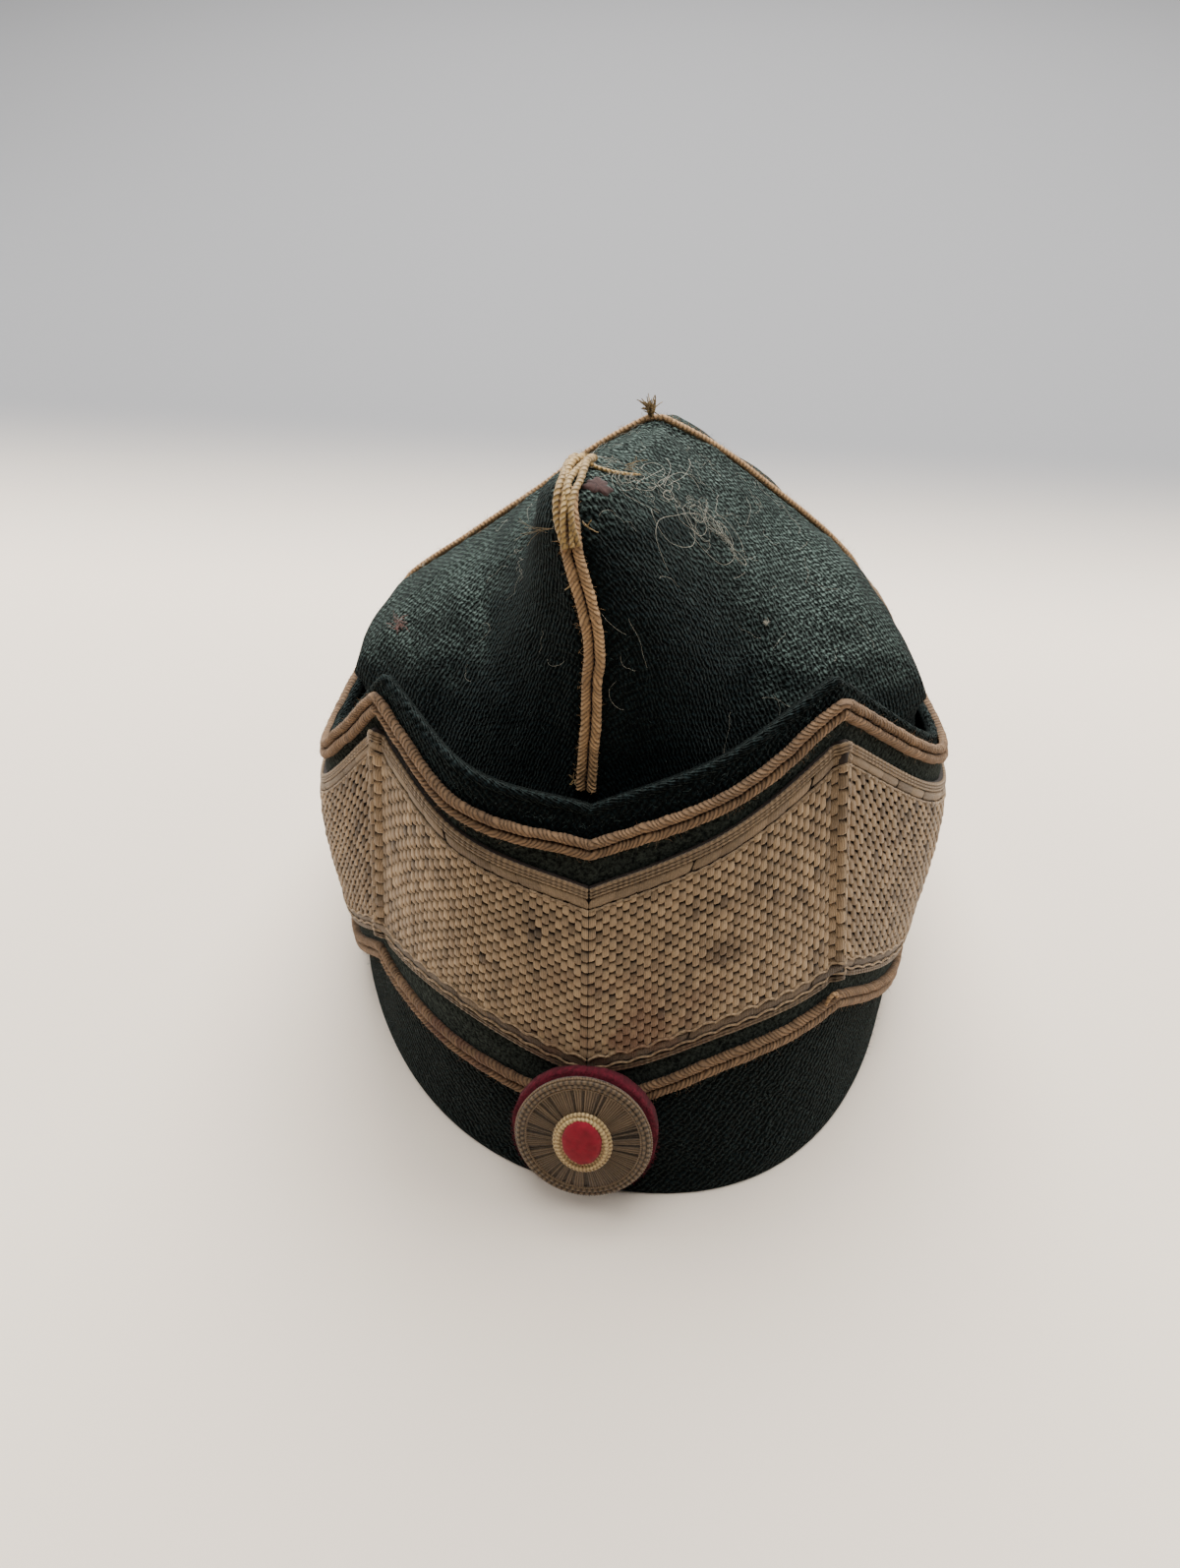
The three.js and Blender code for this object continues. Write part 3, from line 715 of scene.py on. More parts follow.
worn_wool = thread("worn_wool", (18, 11, 11), (74, 50, 46), sheen=0.05, roughness=0.95)
nap_fibre = thread("nap_fibre", (20, 34, 33), (88, 108, 102), roughness=0.9)


# The crown: one shell with seams drawn in, a puckered welt beside each seam and soft unevenness.

CROWN_COLUMNS = 340
CROWN_CROWDING = 1.25
CROWN_RIPPLES = ((0.35, 28, 3), (0.16, 9, 4))
SEAM_DEPTH = 0.7
SEAM_WIDTH = 1.1
WELT_HEIGHT = 0.45
WELT_OFFSET = 3.2
WELT_WIDTH = 2.0
PUCKER_RATE = 260
INSIDE_CLOTH_REACH = 62


def crown():
    spread = np.linspace(-1, 1, CROWN_COLUMNS, endpoint=False)[:, None]
    bearings = FRONT_SEAM + 180 * np.sign(spread) * np.abs(spread) ** CROWN_CROWDING
    downs = np.concatenate([np.linspace(0.004, 0.68, 84), np.linspace(0.7, 1, 8)])
    bearing, down = np.broadcast_arrays(bearings, downs)
    outer = crown_face(bearing, down)
    reach = np.hypot(outer[..., 0] - CROWN_TOP_X, outer[..., 1] - CROWN_TOP_Y)
    lift = ripples(outer, CROWN_RIPPLES)
    pucker = 0.75 + 0.25 * np.sin(down * PUCKER_RATE)
    for seam in (FRONT_SEAM, RIGHT_SEAM, LEFT_SEAM, BACK_SEAM):
        distance = np.radians(np.abs((bearing - seam + 180) % 360 - 180)) * reach
        welt = WELT_HEIGHT * pucker * hump(distance - WELT_OFFSET, WELT_WIDTH)
        lift += -SEAM_DEPTH * hump(distance, SEAM_WIDTH) + welt
    visible = smooth_step(down, 0.0, 0.03) * (1 - smooth_step(down, 0.62, 0.7))
    outer = outer + crown_out(bearing, down) * (lift * visible)[..., None]
    inner_downs = np.linspace(1, 0.02, 14)
    inner = crown_face(bearings, inner_downs) - CROWN_CLOTH * crown_out(bearings, inner_downs)
    inner[..., 2] = np.maximum(inner[..., 2], CROWN_FOOT_HEIGHT)
    points = np.concatenate([outer, inner], axis=1)
    columns, rows = points.shape[:2]
    length = np.cumsum(np.linalg.norm(np.diff(outer, axis=1, prepend=outer[:, :1]), axis=2), axis=1)
    flat = np.stack([np.sin(np.radians(bearing)) * length, np.cos(np.radians(bearing)) * length], axis=-1)
    around = np.radians(bearings - FRONT_SEAM) * INSIDE_CLOTH_REACH
    inside = np.stack([around + 0 * inner[..., 0], inner[..., 2]], axis=-1)
    place = np.concatenate([flat, inside], axis=1)
    faces = grid_faces(columns, rows, wrap=True, flip=True).tolist()
    faces.append(row_face(columns, rows, 0))
    faces.append(row_face(columns, rows, rows - 1)[::-1])
    nodes = ("crown_front_left", "crown_front_right", "crown_rear_left", "crown_rear_right")
    add_mesh("crown_cloth", points, faces, crown_wool, nodes, place)


# The turn-up: a shell with a rounded rim, swollen strips beside the lace and a rolled top edge.

RIM_ROUNDING = table(("part", "lift"), [(0, -0.7), (0.004, -0.35), (0.012, -0.1), (0.024, 0)])
RIM_PART = 0.03
TURN_UP_RIPPLES = ((0.3, 34, 8), (0.12, 10, 9))
STRIP_SWELL = 0.6
COVER_MARGIN = 3
AROUND_HEIGHT = 30.0
INSIDE_CLOTH_SHIFT = 100
ROLL_RADIUS = 1.05
ROLL_SIDES = 14
ROLL_DROP = 0.6
ROLL_INSET = 0.9
ROLL_TWIST_LENGTH = 2.6


def crease_turns(count):
    """Turns all round the turn-up, with one at each crease."""
    parts = []
    for start, end in zip(CREASES[:-1], CREASES[1:]):
        steps = max(int(count * (end - start) / 360), 20)
        parts.append(np.linspace(start, end, steps, endpoint=False))
    return np.concatenate(parts)


def turn_up(turns):
    parts = np.concatenate([RIM_ROUNDING["part"], np.linspace(0.04, 1, 40)])
    turn = turns[:, None] + 0 * parts
    height = section(turn, "height") * parts
    foot_braid = section(turn, "braid_foot")
    top_braid = section(turn, "braid_top")
    outer = turn_up_face(turn, height)
    out = turn_up_out(turn, np.maximum(height, 0.5))
    lift = ripples(outer, TURN_UP_RIPPLES)
    lift = np.where(parts < RIM_PART, np.interp(parts, RIM_ROUNDING["part"], RIM_ROUNDING["lift"]), lift)
    covered = (height > foot_braid - COVER_MARGIN) & (height < top_braid + COVER_MARGIN)
    lift = np.where(covered, np.minimum(lift, 0) * 0.4, lift)
    for low, high in (("braid_foot", "lace_foot"), ("lace_top", "braid_top")):
        foot = section(turn, low)
        rise = section(turn, high) - foot
        bulge = np.sin(math.pi * np.clip((height - foot) / rise, 0, 1))
        lift += STRIP_SWELL * np.clip(1.6 * bulge, 0, 1)
    level = unit(out * np.array([1, 1, 0]))
    outer = outer + np.where((parts < RIM_PART)[None, :, None], level, out) * lift[..., None]
    outer[..., 2] = np.maximum(outer[..., 2], 0)
    inner_parts = np.linspace(1, 0, 12)
    inner_turn = turns[:, None] + 0 * inner_parts
    inner_height = section(inner_turn, "height") * inner_parts
    inner = turn_up_face(inner_turn, inner_height) - TURN_UP_CLOTH * rim_outward(inner_turn)
    points = np.concatenate([outer, inner], axis=1)
    rows = points.shape[1]
    around = lengths_along(turn_up_face(turns, AROUND_HEIGHT))
    upward = np.concatenate([height, INSIDE_CLOTH_SHIFT + inner_height], axis=1)
    place = np.stack([np.repeat(around[:, None], rows, axis=1), upward], axis=-1)
    strip = (height > foot_braid) & (height < top_braid)
    felt = np.concatenate([strip.astype(float), np.zeros(inner.shape[:2])], axis=1)
    faces = grid_faces(len(turns), rows, wrap=True).tolist()
    for column in range(len(turns)):
        here = column * rows
        beside = (column + 1) % len(turns) * rows
        faces.append([here + rows - 1, beside + rows - 1, beside, here])
    add_mesh("turn_up_cloth", points, faces, turn_up_wool, ("turn_up",), place, felt=felt)


def turn_up_edge(turns):
    outward = rim_outward(turns)
    edge = turn_up_face(turns, section(turns, "height") - ROLL_DROP) - ROLL_INSET * outward
    path, out, across, length = even_path(edge, outward, 0.45, closed=True)
    twist = length / length[-1] * FULL_TURN * round(length[-1] / ROLL_TWIST_LENGTH)
    points, faces = tube(path, out, across, ROLL_RADIUS, ROLL_SIDES, closed=True, twist=twist, ridge=0.06)
    around = np.tile(np.arange(ROLL_SIDES) * 0.7, len(path))
    place = np.stack([np.repeat(length, ROLL_SIDES) + around * 0.8, around], axis=-1)
    felt = np.zeros(len(points))
    add_mesh("turn_up_edge_roll", points, faces, turn_up_wool, (), place, felt=felt)


# Lace: a ground strip, floats of thread in a brick pattern, and borders of cords and bands.

LACE_BORDER = 5.3
FLOAT_PITCH = 1.45
FLOAT_ROWS = 13
FLOAT_FOOT = 0.3
FLOAT_RISE = 0.95
FLOAT_LIMIT = 4.5
FLOAT_HALF_LENGTH = 0.55
FLOAT_HALF_PART = 0.54
FLOAT_SHADE = 0.68
SIDE_FLOAT_STRETCH = 1.08
SIDE_SHADE_LOSS = 0.14
# How strongly the floats' painted highlight and shade show on the side panels and on the tucks.
SIDE_PAINTED_SHADE = 0.6
TUCK_PAINTED_SHADE = 0.35
BAND_OFFSET = 3.25
BAND_HALF_WIDTH = 1.25
BAND_FOOT = 0.45
BAND_RISE = 0.6
BAND_SLANT = 0.5
CORD_SIDES = 5
CORD_TWIST_LENGTH = 1.1
TUCK_HEIGHT = 1.4
TUCK_HALF_TURN = 1.6
GROOVE_DEPTH = 0.35
GROOVE_TURN = 2.3
GROOVE_WIDTH = 0.8

# The ground's parts of the way up the lace and its heights there, with both edges turned in.
GROUND = table(("part", "lift"), [
    (-0.004, -0.35), (0, 0.45), (0.12, 0.5), (0.3, 0.5), (0.5, 0.5), (0.7, 0.5), (0.88, 0.5), (1, 0.45),
    (1.004, -0.35),
])

# Heights and shades along a float from its lower end to its upper end, which dips under the float
# above, and heights across a border band. The shades are painted: a highlight at the lower end and
# shade where the float dips under the one above.
FLOAT = table(("place", "height", "shade", "band_height"), [
    (-1, 0.05, -0.3, 0.0),
    (-0.9, 0.85, 0.16, 0.6),
    (-0.65, 1.0, 0.14, 0.9),
    (0.0, 0.95, 0.05, 1.0),
    (0.45, 0.8, -0.08, 0.95),
    (0.7, 0.25, -0.7, 0.85),
    (1, 0.0, -0.95, 0.0),
])
FLOAT_SIDES = np.array([-1, -0.82, 0, 0.82, 1])

# Border cords: offset from the edge, radius, height and length of their waves, lift and shade.
TOP_CORDS = (
    (0.3, 0.4, 0.0, 1.0, 0.7, 0.42),
    (1.05, 0.34, 0.0, 1.0, 0.8, 0.28),
    (1.75, 0.3, 0.0, 1.0, 0.8, 0.42),
    (4.75, 0.28, 0.15, 2.4, 0.95, 0.45),
)
FOOT_CORDS = (
    (0.3, 0.4, 0.0, 1.0, 0.7, 0.12),
    (1.0, 0.32, 0.0, 1.0, 0.8, 0.05),
    (1.7, 0.26, 0.55, 4.4, 1.1, 0.6),
    (4.2, 0.28, 0.8, 4.4, 1.2, 0.66),
)

# Border bands: whether at the top, length of a block and shade.
BANDS = ((True, 5.4, 0.38), (False, 7.0, 0.0))


class Lace:
    """One half of the lace, measured from the mitre at the front centre."""

    def __init__(self, name, end, corner, seed):
        self.name = name
        self.corner = corner
        self.flip = end < FRONT
        self.dice = np.random.default_rng(seed)
        self.turns = np.linspace(FRONT, end, 2400)
        top = section(self.turns, "lace_top")
        foot = section(self.turns, "lace_foot")
        self.lengths = lengths_along(turn_up_face(self.turns, (top + foot) / 2))
        self.length = self.lengths[-1]
        across = turn_up_face(self.turns, top) - turn_up_face(self.turns, foot)
        self.widths = np.linalg.norm(across, axis=1)

    def turn(self, along):
        return np.interp(along, self.lengths, self.turns)

    def width(self, along):
        return np.interp(along, self.lengths, self.widths)

    def part(self, along, offset, from_top):
        """The part of the way up the lace at an offset from its top or its foot."""
        part = offset / self.width(along)
        return 1 - part if from_top else part

    def point(self, along, part, lift):
        turn = self.turn(along)
        low = section(turn, "lace_foot")
        height = low + (section(turn, "lace_top") - low) * part
        aside = np.abs(turn - self.corner)
        tuck = np.clip(1 - aside / TUCK_HALF_TURN, 0, 1)
        rise = LACE_GAP + lift + TUCK_HEIGHT * tuck ** 0.75
        rise = rise - GROOVE_DEPTH * hump(aside - GROOVE_TURN, GROOVE_WIDTH)
        return turn_up_face(turn, height) + turn_up_out(turn, height) * np.asarray(rise)[..., None]

    def pillows(self, along, part, half_length, half_part, low, rise, heights, slant=0.0, limit=0.0):
        """Rounded floats of thread: their points, faces, points in each and cloth places."""
        sides = FLOAT_SIDES[None, :, None]
        places = FLOAT["place"][None, None, :]
        place_along = half_length[:, None, None] * sides * (1 - 0.14 * places ** 4)
        place_along = along[:, None, None] + place_along + slant * places
        place_along = np.clip(place_along, 0.05, self.length - 0.05)
        place_part = half_part[:, None, None] * places * (1 - 0.12 * sides ** 2)
        edge = limit / self.width(place_along)
        place_part = np.clip(part[:, None, None] + place_part, edge, 1 - edge)
        lift = low + rise[:, None, None] * ((1 - 0.32 * sides ** 6) * heights)
        points = self.point(place_along, place_part, lift).reshape(-1, 3)
        each = sides.size * places.size
        single = grid_faces(sides.size, places.size)
        faces = (single[None] + np.arange(len(along))[:, None, None] * each).reshape(-1, 4)
        place = np.stack([place_along, place_part * self.width(place_along)], axis=-1)
        return points, faces[:, ::-1] if self.flip else faces, each, place.reshape(-1, 2)

    def ground(self):
        along = np.linspace(0.1, self.length, 420)
        along, part, lift = np.broadcast_arrays(along[:, None], GROUND["part"], GROUND["lift"])
        points = self.point(along, part, lift)
        faces = grid_faces(*along.shape, flip=self.flip)
        tint = self.dice.uniform(0, 1, along.shape)
        add_mesh(self.name + "_ground", points, faces, shaded_lace_ground, (), tint=tint)

    def weave(self):
        dice = self.dice
        columns = round(self.length / FLOAT_PITCH)
        pitch = self.length / columns
        column, row = np.meshgrid(np.arange(columns), np.arange(-1, FLOAT_ROWS + 1), indexing="ij")
        centre = (column + 0.5) * pitch + dice.normal(0, 0.03, column.shape)
        border = LACE_BORDER / self.width(centre)
        row_part = (1 - 2 * border) / FLOAT_ROWS
        part = border + (row + 0.25 + 0.5 * (column % 2)) * row_part + dice.normal(0, 0.0008, column.shape)
        keep = (part > border - 0.4 * row_part) & (part < 1 - border + 0.4 * row_part)
        centre = centre[keep]
        part = part[keep]
        row_part = row_part[keep]
        count = len(centre)
        turn = self.turn(centre)
        aside = np.abs(turn - FRONT) > abs(self.corner - FRONT)
        half_length = FLOAT_HALF_LENGTH * pitch * dice.uniform(0.93, 1.04, count)
        half_length = half_length * np.where(aside, SIDE_FLOAT_STRETCH, 1.0)
        half_part = FLOAT_HALF_PART * row_part * dice.uniform(0.95, 1.05, count)
        rise = FLOAT_RISE * dice.uniform(0.85, 1.1, count)
        points, faces, each, place = self.pillows(
            centre, part, half_length, half_part, FLOAT_FOOT, rise, FLOAT["height"], limit=FLOAT_LIMIT)
        tucked = np.abs(turn - self.corner) < 1.5 * TUCK_HALF_TURN
        painted_shade_strength = np.where(tucked, TUCK_PAINTED_SHADE, np.where(aside, SIDE_PAINTED_SHADE, 1.0))
        # Painted highlight at each float's lower end and painted shade at its upper end, weaker on tucks and
        # side panels.
        ends = np.tile(FLOAT["shade"], len(FLOAT_SIDES))
        shade = np.clip(dice.normal(FLOAT_SHADE, 0.2, count) - SIDE_SHADE_LOSS * aside, 0, 1)
        tint = shade[:, None] + ends * painted_shade_strength[:, None]
        add_mesh(self.name + "_weave", points, faces, lace_thread, (self.name,), place, tint=tint)

    def border_cords(self):
        cords = Bundle()
        steps = np.linspace(0.2, self.length - 0.2, int(self.length / 0.6))
        turn = self.turn(steps)
        outward = turn_up_out(turn, section(turn, "lace_foot") + 20)
        twist = steps * FULL_TURN / CORD_TWIST_LENGTH
        for from_top, rows in ((True, TOP_CORDS), (False, FOOT_CORDS)):
            for offset, radius, wave, wave_length, lift, shade in rows:
                wavy = offset + wave * np.abs(np.sin(math.pi * steps / wave_length + 0.4 * np.sin(steps / 7)))
                path = self.point(steps, self.part(steps, wavy, from_top), np.full(len(steps), lift))
                out, across = path_frame(path, outward)
                shape = tube(path, out, across, radius, CORD_SIDES, twist=twist, ridge=0.16)
                tint = np.repeat(np.clip(shade + 0.2 * np.sin(twist), 0, 1), CORD_SIDES)
                place = np.stack([steps * 0.3, wavy], axis=-1)
                cords.add(shape, tint, np.repeat(place, CORD_SIDES, axis=0))
        cords.piece(self.name + "_border_cords", lace_thread, (), "tan_lace")

    def border_bands(self):
        bands = Bundle()
        for from_top, block, shade in BANDS:
            centre = np.arange(block / 2, self.length, block)
            count = len(centre)
            centre = centre + self.dice.normal(0, 0.4, count)
            points, faces, each, place = self.pillows(
                centre, self.part(centre, BAND_OFFSET, from_top), np.full(count, block * 0.53),
                BAND_HALF_WIDTH / self.width(centre), BAND_FOOT, np.full(count, BAND_RISE),
                FLOAT["band_height"], slant=BAND_SLANT)
            tint = np.repeat(np.clip(self.dice.normal(shade, 0.1, count), 0, 1), each)
            bands.add((points, faces), tint, place)
        bands.piece(self.name + "_border_band", lace_thread, (), "tan_lace")


def laces():
    for name, end, corner, seed in (
        ("lace_right", BACK, RIGHT_CORNER, 21), ("lace_left", -BACK, LEFT_CORNER, 22),
    ):
        lace = Lace(name, end, corner, seed)
        lace.ground()
        lace.weave()
        lace.border_cords()
        lace.border_bands()


# Braid: two ribs of slanted threads with a stitched groove between them, and fuzz.

BRAID_STEP = 0.34
BRAID_HEIGHT = 1.9
BRAID_SHADES = 997
RIB_SLANT = 0.9

# A rib's offset and half width for each millimetre of width, and its middle and half height likewise.
RIB_OFFSET = 0.255
RIB_HALF_WIDTH = 0.235
RIB_MIDDLE = 0.42
RIB_HALF_HEIGHT = 0.56
STITCH_PITCH = 1.8
STITCH_HALF_LENGTH = 0.75
STITCH_RADIUS = 0.3
STITCH_RISE = LAYER_GAP + BRAID_HEIGHT * np.array([0.2, 0.36, 0.42, 0.36, 0.2])
FRONT_BRAID_DOWNS = (0.655, 0.34)
FUZZ_RADIUS = 0.022
FUZZ_CURL = 0.35


def braid_fuzz(name, roots, ways, lengths, material, shade, seed):
    points, faces = fibres(roots, ways, lengths, FUZZ_RADIUS, FUZZ_CURL, 4, seed)
    place = np.full((len(points), 2), BRAID_PITCH / 2)
    add_mesh(name, points, faces, material, (), place, tint=np.full(len(points), shade))


class Braid:
    """A braid along a path on the cap, with its width and its count of fuzz for each millimetre."""

    def __init__(self, name, path, out, closed, seed, material, width=4.2, fuzz=3.0):
        self.name = name
        self.closed = closed
        self.seed = seed
        self.material = material
        self.width = width
        self.fuzz_count = fuzz
        self.dice = np.random.default_rng(seed)
        path, self.out, self.across, self.length = even_path(path, out, BRAID_STEP, closed)
        wobble = ripples(path, ((0.12, 16, seed), (0.06, 5, seed + 1)))
        self.path = path + self.across * wobble[:, None]

    def ribs(self, node):
        ribs = Bundle()
        uneven_pitch = 0.35 * ripple(self.path, 4, self.seed + 9)[:, None]
        around = np.linspace(-0.25, 1.25, 10)[None, :] * math.pi
        # Painted shade: each rib is darker down its sides and underneath than on top.
        painted_flank_shade = 0.5 + 0.5 * np.clip(np.sin(around), 0, 1)
        faces = grid_faces(len(self.path), around.size, wrap=self.closed, flip=True).tolist()
        for side in (-1, 1):
            centre = self.path + self.across * (side * self.width * RIB_OFFSET)
            centre = centre + self.out * (LAYER_GAP + BRAID_HEIGHT * RIB_MIDDLE)
            phase = self.length[:, None] / BRAID_PITCH + np.cos(around) * side * RIB_SLANT + uneven_pitch
            thread_rise = np.abs(np.sin(math.pi * phase)) ** 0.7
            uneven = 1 + 0.05 * ripple(self.path, 3, self.seed + 5 + side)[:, None]
            size = (0.84 + 0.2 * thread_rise) * uneven
            sideways = (np.cos(around) * self.width * RIB_HALF_WIDTH * size)[..., None]
            upward = (np.sin(around) * BRAID_HEIGHT * RIB_HALF_HEIGHT * size)[..., None]
            points = centre[:, None, :] + sideways * self.across[:, None, :] + upward * self.out[:, None, :]
            number = np.floor(phase).astype(int) % BRAID_SHADES
            # Painted shade where each thread dips, on top of the random tone per thread.
            shade = self.dice.uniform(0.5, 1.0, BRAID_SHADES)[number] * (0.6 + 0.4 * thread_rise) * painted_flank_shade
            place = np.stack([phase * BRAID_PITCH, 0 * phase + around], axis=-1)
            ribs.add((points.reshape(-1, 3), faces), shade.ravel(), place.reshape(-1, 2))
        ribs.piece(self.name + "_ribs", self.material, (node,), "tan_braid")

    def stitches(self):
        spots = np.arange(1.0, self.length[-1] - 1.0, STITCH_PITCH)
        spots = spots + self.dice.normal(0, 0.12, len(spots))
        stitches = []
        for spot in spots:
            steps = np.linspace(spot - STITCH_HALF_LENGTH, spot + STITCH_HALF_LENGTH, len(STITCH_RISE))
            ways = unit(sample(steps, self.length, self.out))
            line = sample(steps, self.length, self.path) + ways * STITCH_RISE[:, None]
            stitches.append(tube(line, *path_frame(line, ways), STITCH_RADIUS, 5))
        points, faces = joined(stitches)
        tint = self.dice.uniform(0, 1, len(points))
        add_mesh(self.name + "_stitches", points, faces, stitch_thread, (), tint=tint)

    def fuzz(self):
        dice = self.dice
        count = int(self.length[-1] * self.fuzz_count)
        spot = dice.uniform(0, self.length[-1], count)
        side = dice.choice([-1, 1], count)
        out = unit(sample(spot, self.length, self.out))
        across = unit(sample(spot, self.length, self.across))
        reach = dice.uniform(0.2, 0.48, count) * self.width
        roots = sample(spot, self.length, self.path) + across * (side * reach)[:, None]
        roots = roots + out * (LAYER_GAP + BRAID_HEIGHT * 0.75)
        ways = across * (side * dice.uniform(0.2, 1.2, count))[:, None]
        ways = ways + out * dice.uniform(0.2, 1.0, count)[:, None]
        ways = ways + np.cross(out, across) * dice.normal(0, 0.8, count)[:, None]
        lengths = dice.uniform(0.5, 1.6, count)
        braid_fuzz(self.name + "_fuzz", roots, ways, lengths, self.material, 0.8, self.seed + 20)

    def build(self, node):
        self.ribs(node)
        self.stitches()
        self.fuzz()


def soutaches():
    turns = crease_turns(900)
    for name, column, node, seed in (
        ("upper_braid", "braid_top", "upper_soutache", 31),
        ("lower_braid", "braid_foot", "lower_soutache", 41),
    ):
        height = section(turns, column)
        path = turn_up_face(turns, height)
        Braid(name, path, turn_up_out(turns, height), True, seed, braid_thread).build(node)
    downs = np.linspace(*FRONT_BRAID_DOWNS, 160)
    seam = np.full(len(downs), float(FRONT_SEAM))
    path = crown_face(seam, downs)
    front = Braid("front_seam_braid", path, crown_out(seam, downs), False, 51, front_thread, 4.0, fuzz=8.0)
    front.build("front_seam_soutache")


# Piping over the crown, whose ends run down behind the edge of the turn-up.

PIPING_RADIUS = 0.74
PIPING_SIDES = 10
PIPING_RISE = 0.75
PIPING_SINK = 1.0
PIPING_TWIST_LENGTH = 1.5
PIPING_TOP = 0.03
PIPING_SINK_DOWNS = (0.66, 0.705)
PIPING_FUZZ = 1100


def piping():
    halves = []
    ways = []
    downs = np.linspace(PIPING_TOP, PIPING_SINK_DOWNS[1], 160)
    for seam, run in ((LEFT_SEAM, downs[::-1]), (RIGHT_SEAM, downs)):
        out = crown_out(np.full(len(run), float(seam)), run)
        rise = PIPING_RISE - PIPING_SINK * smooth_step(run, *PIPING_SINK_DOWNS)
        halves.append(crown_face(seam, run) + out * rise[:, None])
        ways.append(out)
    path, out, across, length = even_path(np.concatenate(halves), np.concatenate(ways), 0.3)
    twist = length * FULL_TURN / PIPING_TWIST_LENGTH
    points, faces = tube(path, out, across, PIPING_RADIUS, PIPING_SIDES, twist=twist, ridge=0.06)
    place = twisted_place(length, PIPING_SIDES, 0.9)
    tint = np.full(len(points), 0.85)
    nodes = ("cross_seam_piping",)
    add_mesh("cross_seam_cord", points, faces, front_thread, nodes, place, tint=tint)
    dice = np.random.default_rng(61)
    pick = dice.integers(0, len(path), PIPING_FUZZ)
    ways = out[pick] + across[pick] * dice.normal(0, 1.2, PIPING_FUZZ)[:, None]
    ways = ways + dice.normal(0, 0.5, (PIPING_FUZZ, 3))
    lengths = dice.uniform(0.6, 1.8, PIPING_FUZZ)
    braid_fuzz("cross_seam_fuzz", path[pick] + out[pick] * 0.4, ways, lengths, front_thread, 0.7, 62)


# Cockade: a wool pad, a disc of radial thread with a twisted rim, a twisted ring and a felt centre.

COCKADE_HEIGHT = 18.5
COCKADE_STAND_OFF = 2.6
PAD_THICKNESS = 2.6
PAD_STRETCH = 1.04
DISC_STRETCH = 1.07
RING_STRETCH = 1.25
FELT_STRETCH = 1.36
FELT_RISE = 0.7
RADIAL_THREADS = 126
RADIAL_STEPS = 6
RADIAL_RISE = 0.28
SUNK_DEPTH = 0.3
SUNK_SHARE = 0.18
WIRE_SIDES = 6

# The pad's and the felt's profiles, from the foot to the middle. The pad's foot follows the wall.
PAD = table(("radius", "lift"), [
    (15.1, 0), (15.2, -1.6), (15.25, -0.9), (15.1, -0.4),
    (14.8, -0.1), (14.1, 0.1), (12.0, 0.15), (6.0, 0.15),
])
FELT = table(("radius", "lift"), [
    (4.0, 2.3), (4.15, 2.9), (4.1, 3.5), (3.7, 4.0), (2.9, 4.35), (1.8, 4.5), (0.7, 4.55),
])

# Twisted cords: radius of the ring, stretch, lift, radius of the cord, twists and shade.
RIM_CORDS = (
    (14.15, DISC_STRETCH, 1.15, 0.26, 150, 0.7),
    (13.55, DISC_STRETCH, 1.42, 0.48, 70, 0.45),
    (12.75, DISC_STRETCH, 1.52, 0.48, -66, 0.45),
    (12.1, DISC_STRETCH, 1.6, 0.24, 150, 0.75),
)
RING_CORDS = (
    (5.75, RING_STRETCH, 2.5, 0.5, 46, 0.5),
    (5.0, RING_STRETCH, 2.9, 0.6, -40, 0.7),
    (4.3, RING_STRETCH, 2.7, 0.5, 36, 0.5),
)


def spread_angles(count):
    return np.linspace(0, FULL_TURN, count, endpoint=False)[:, None]


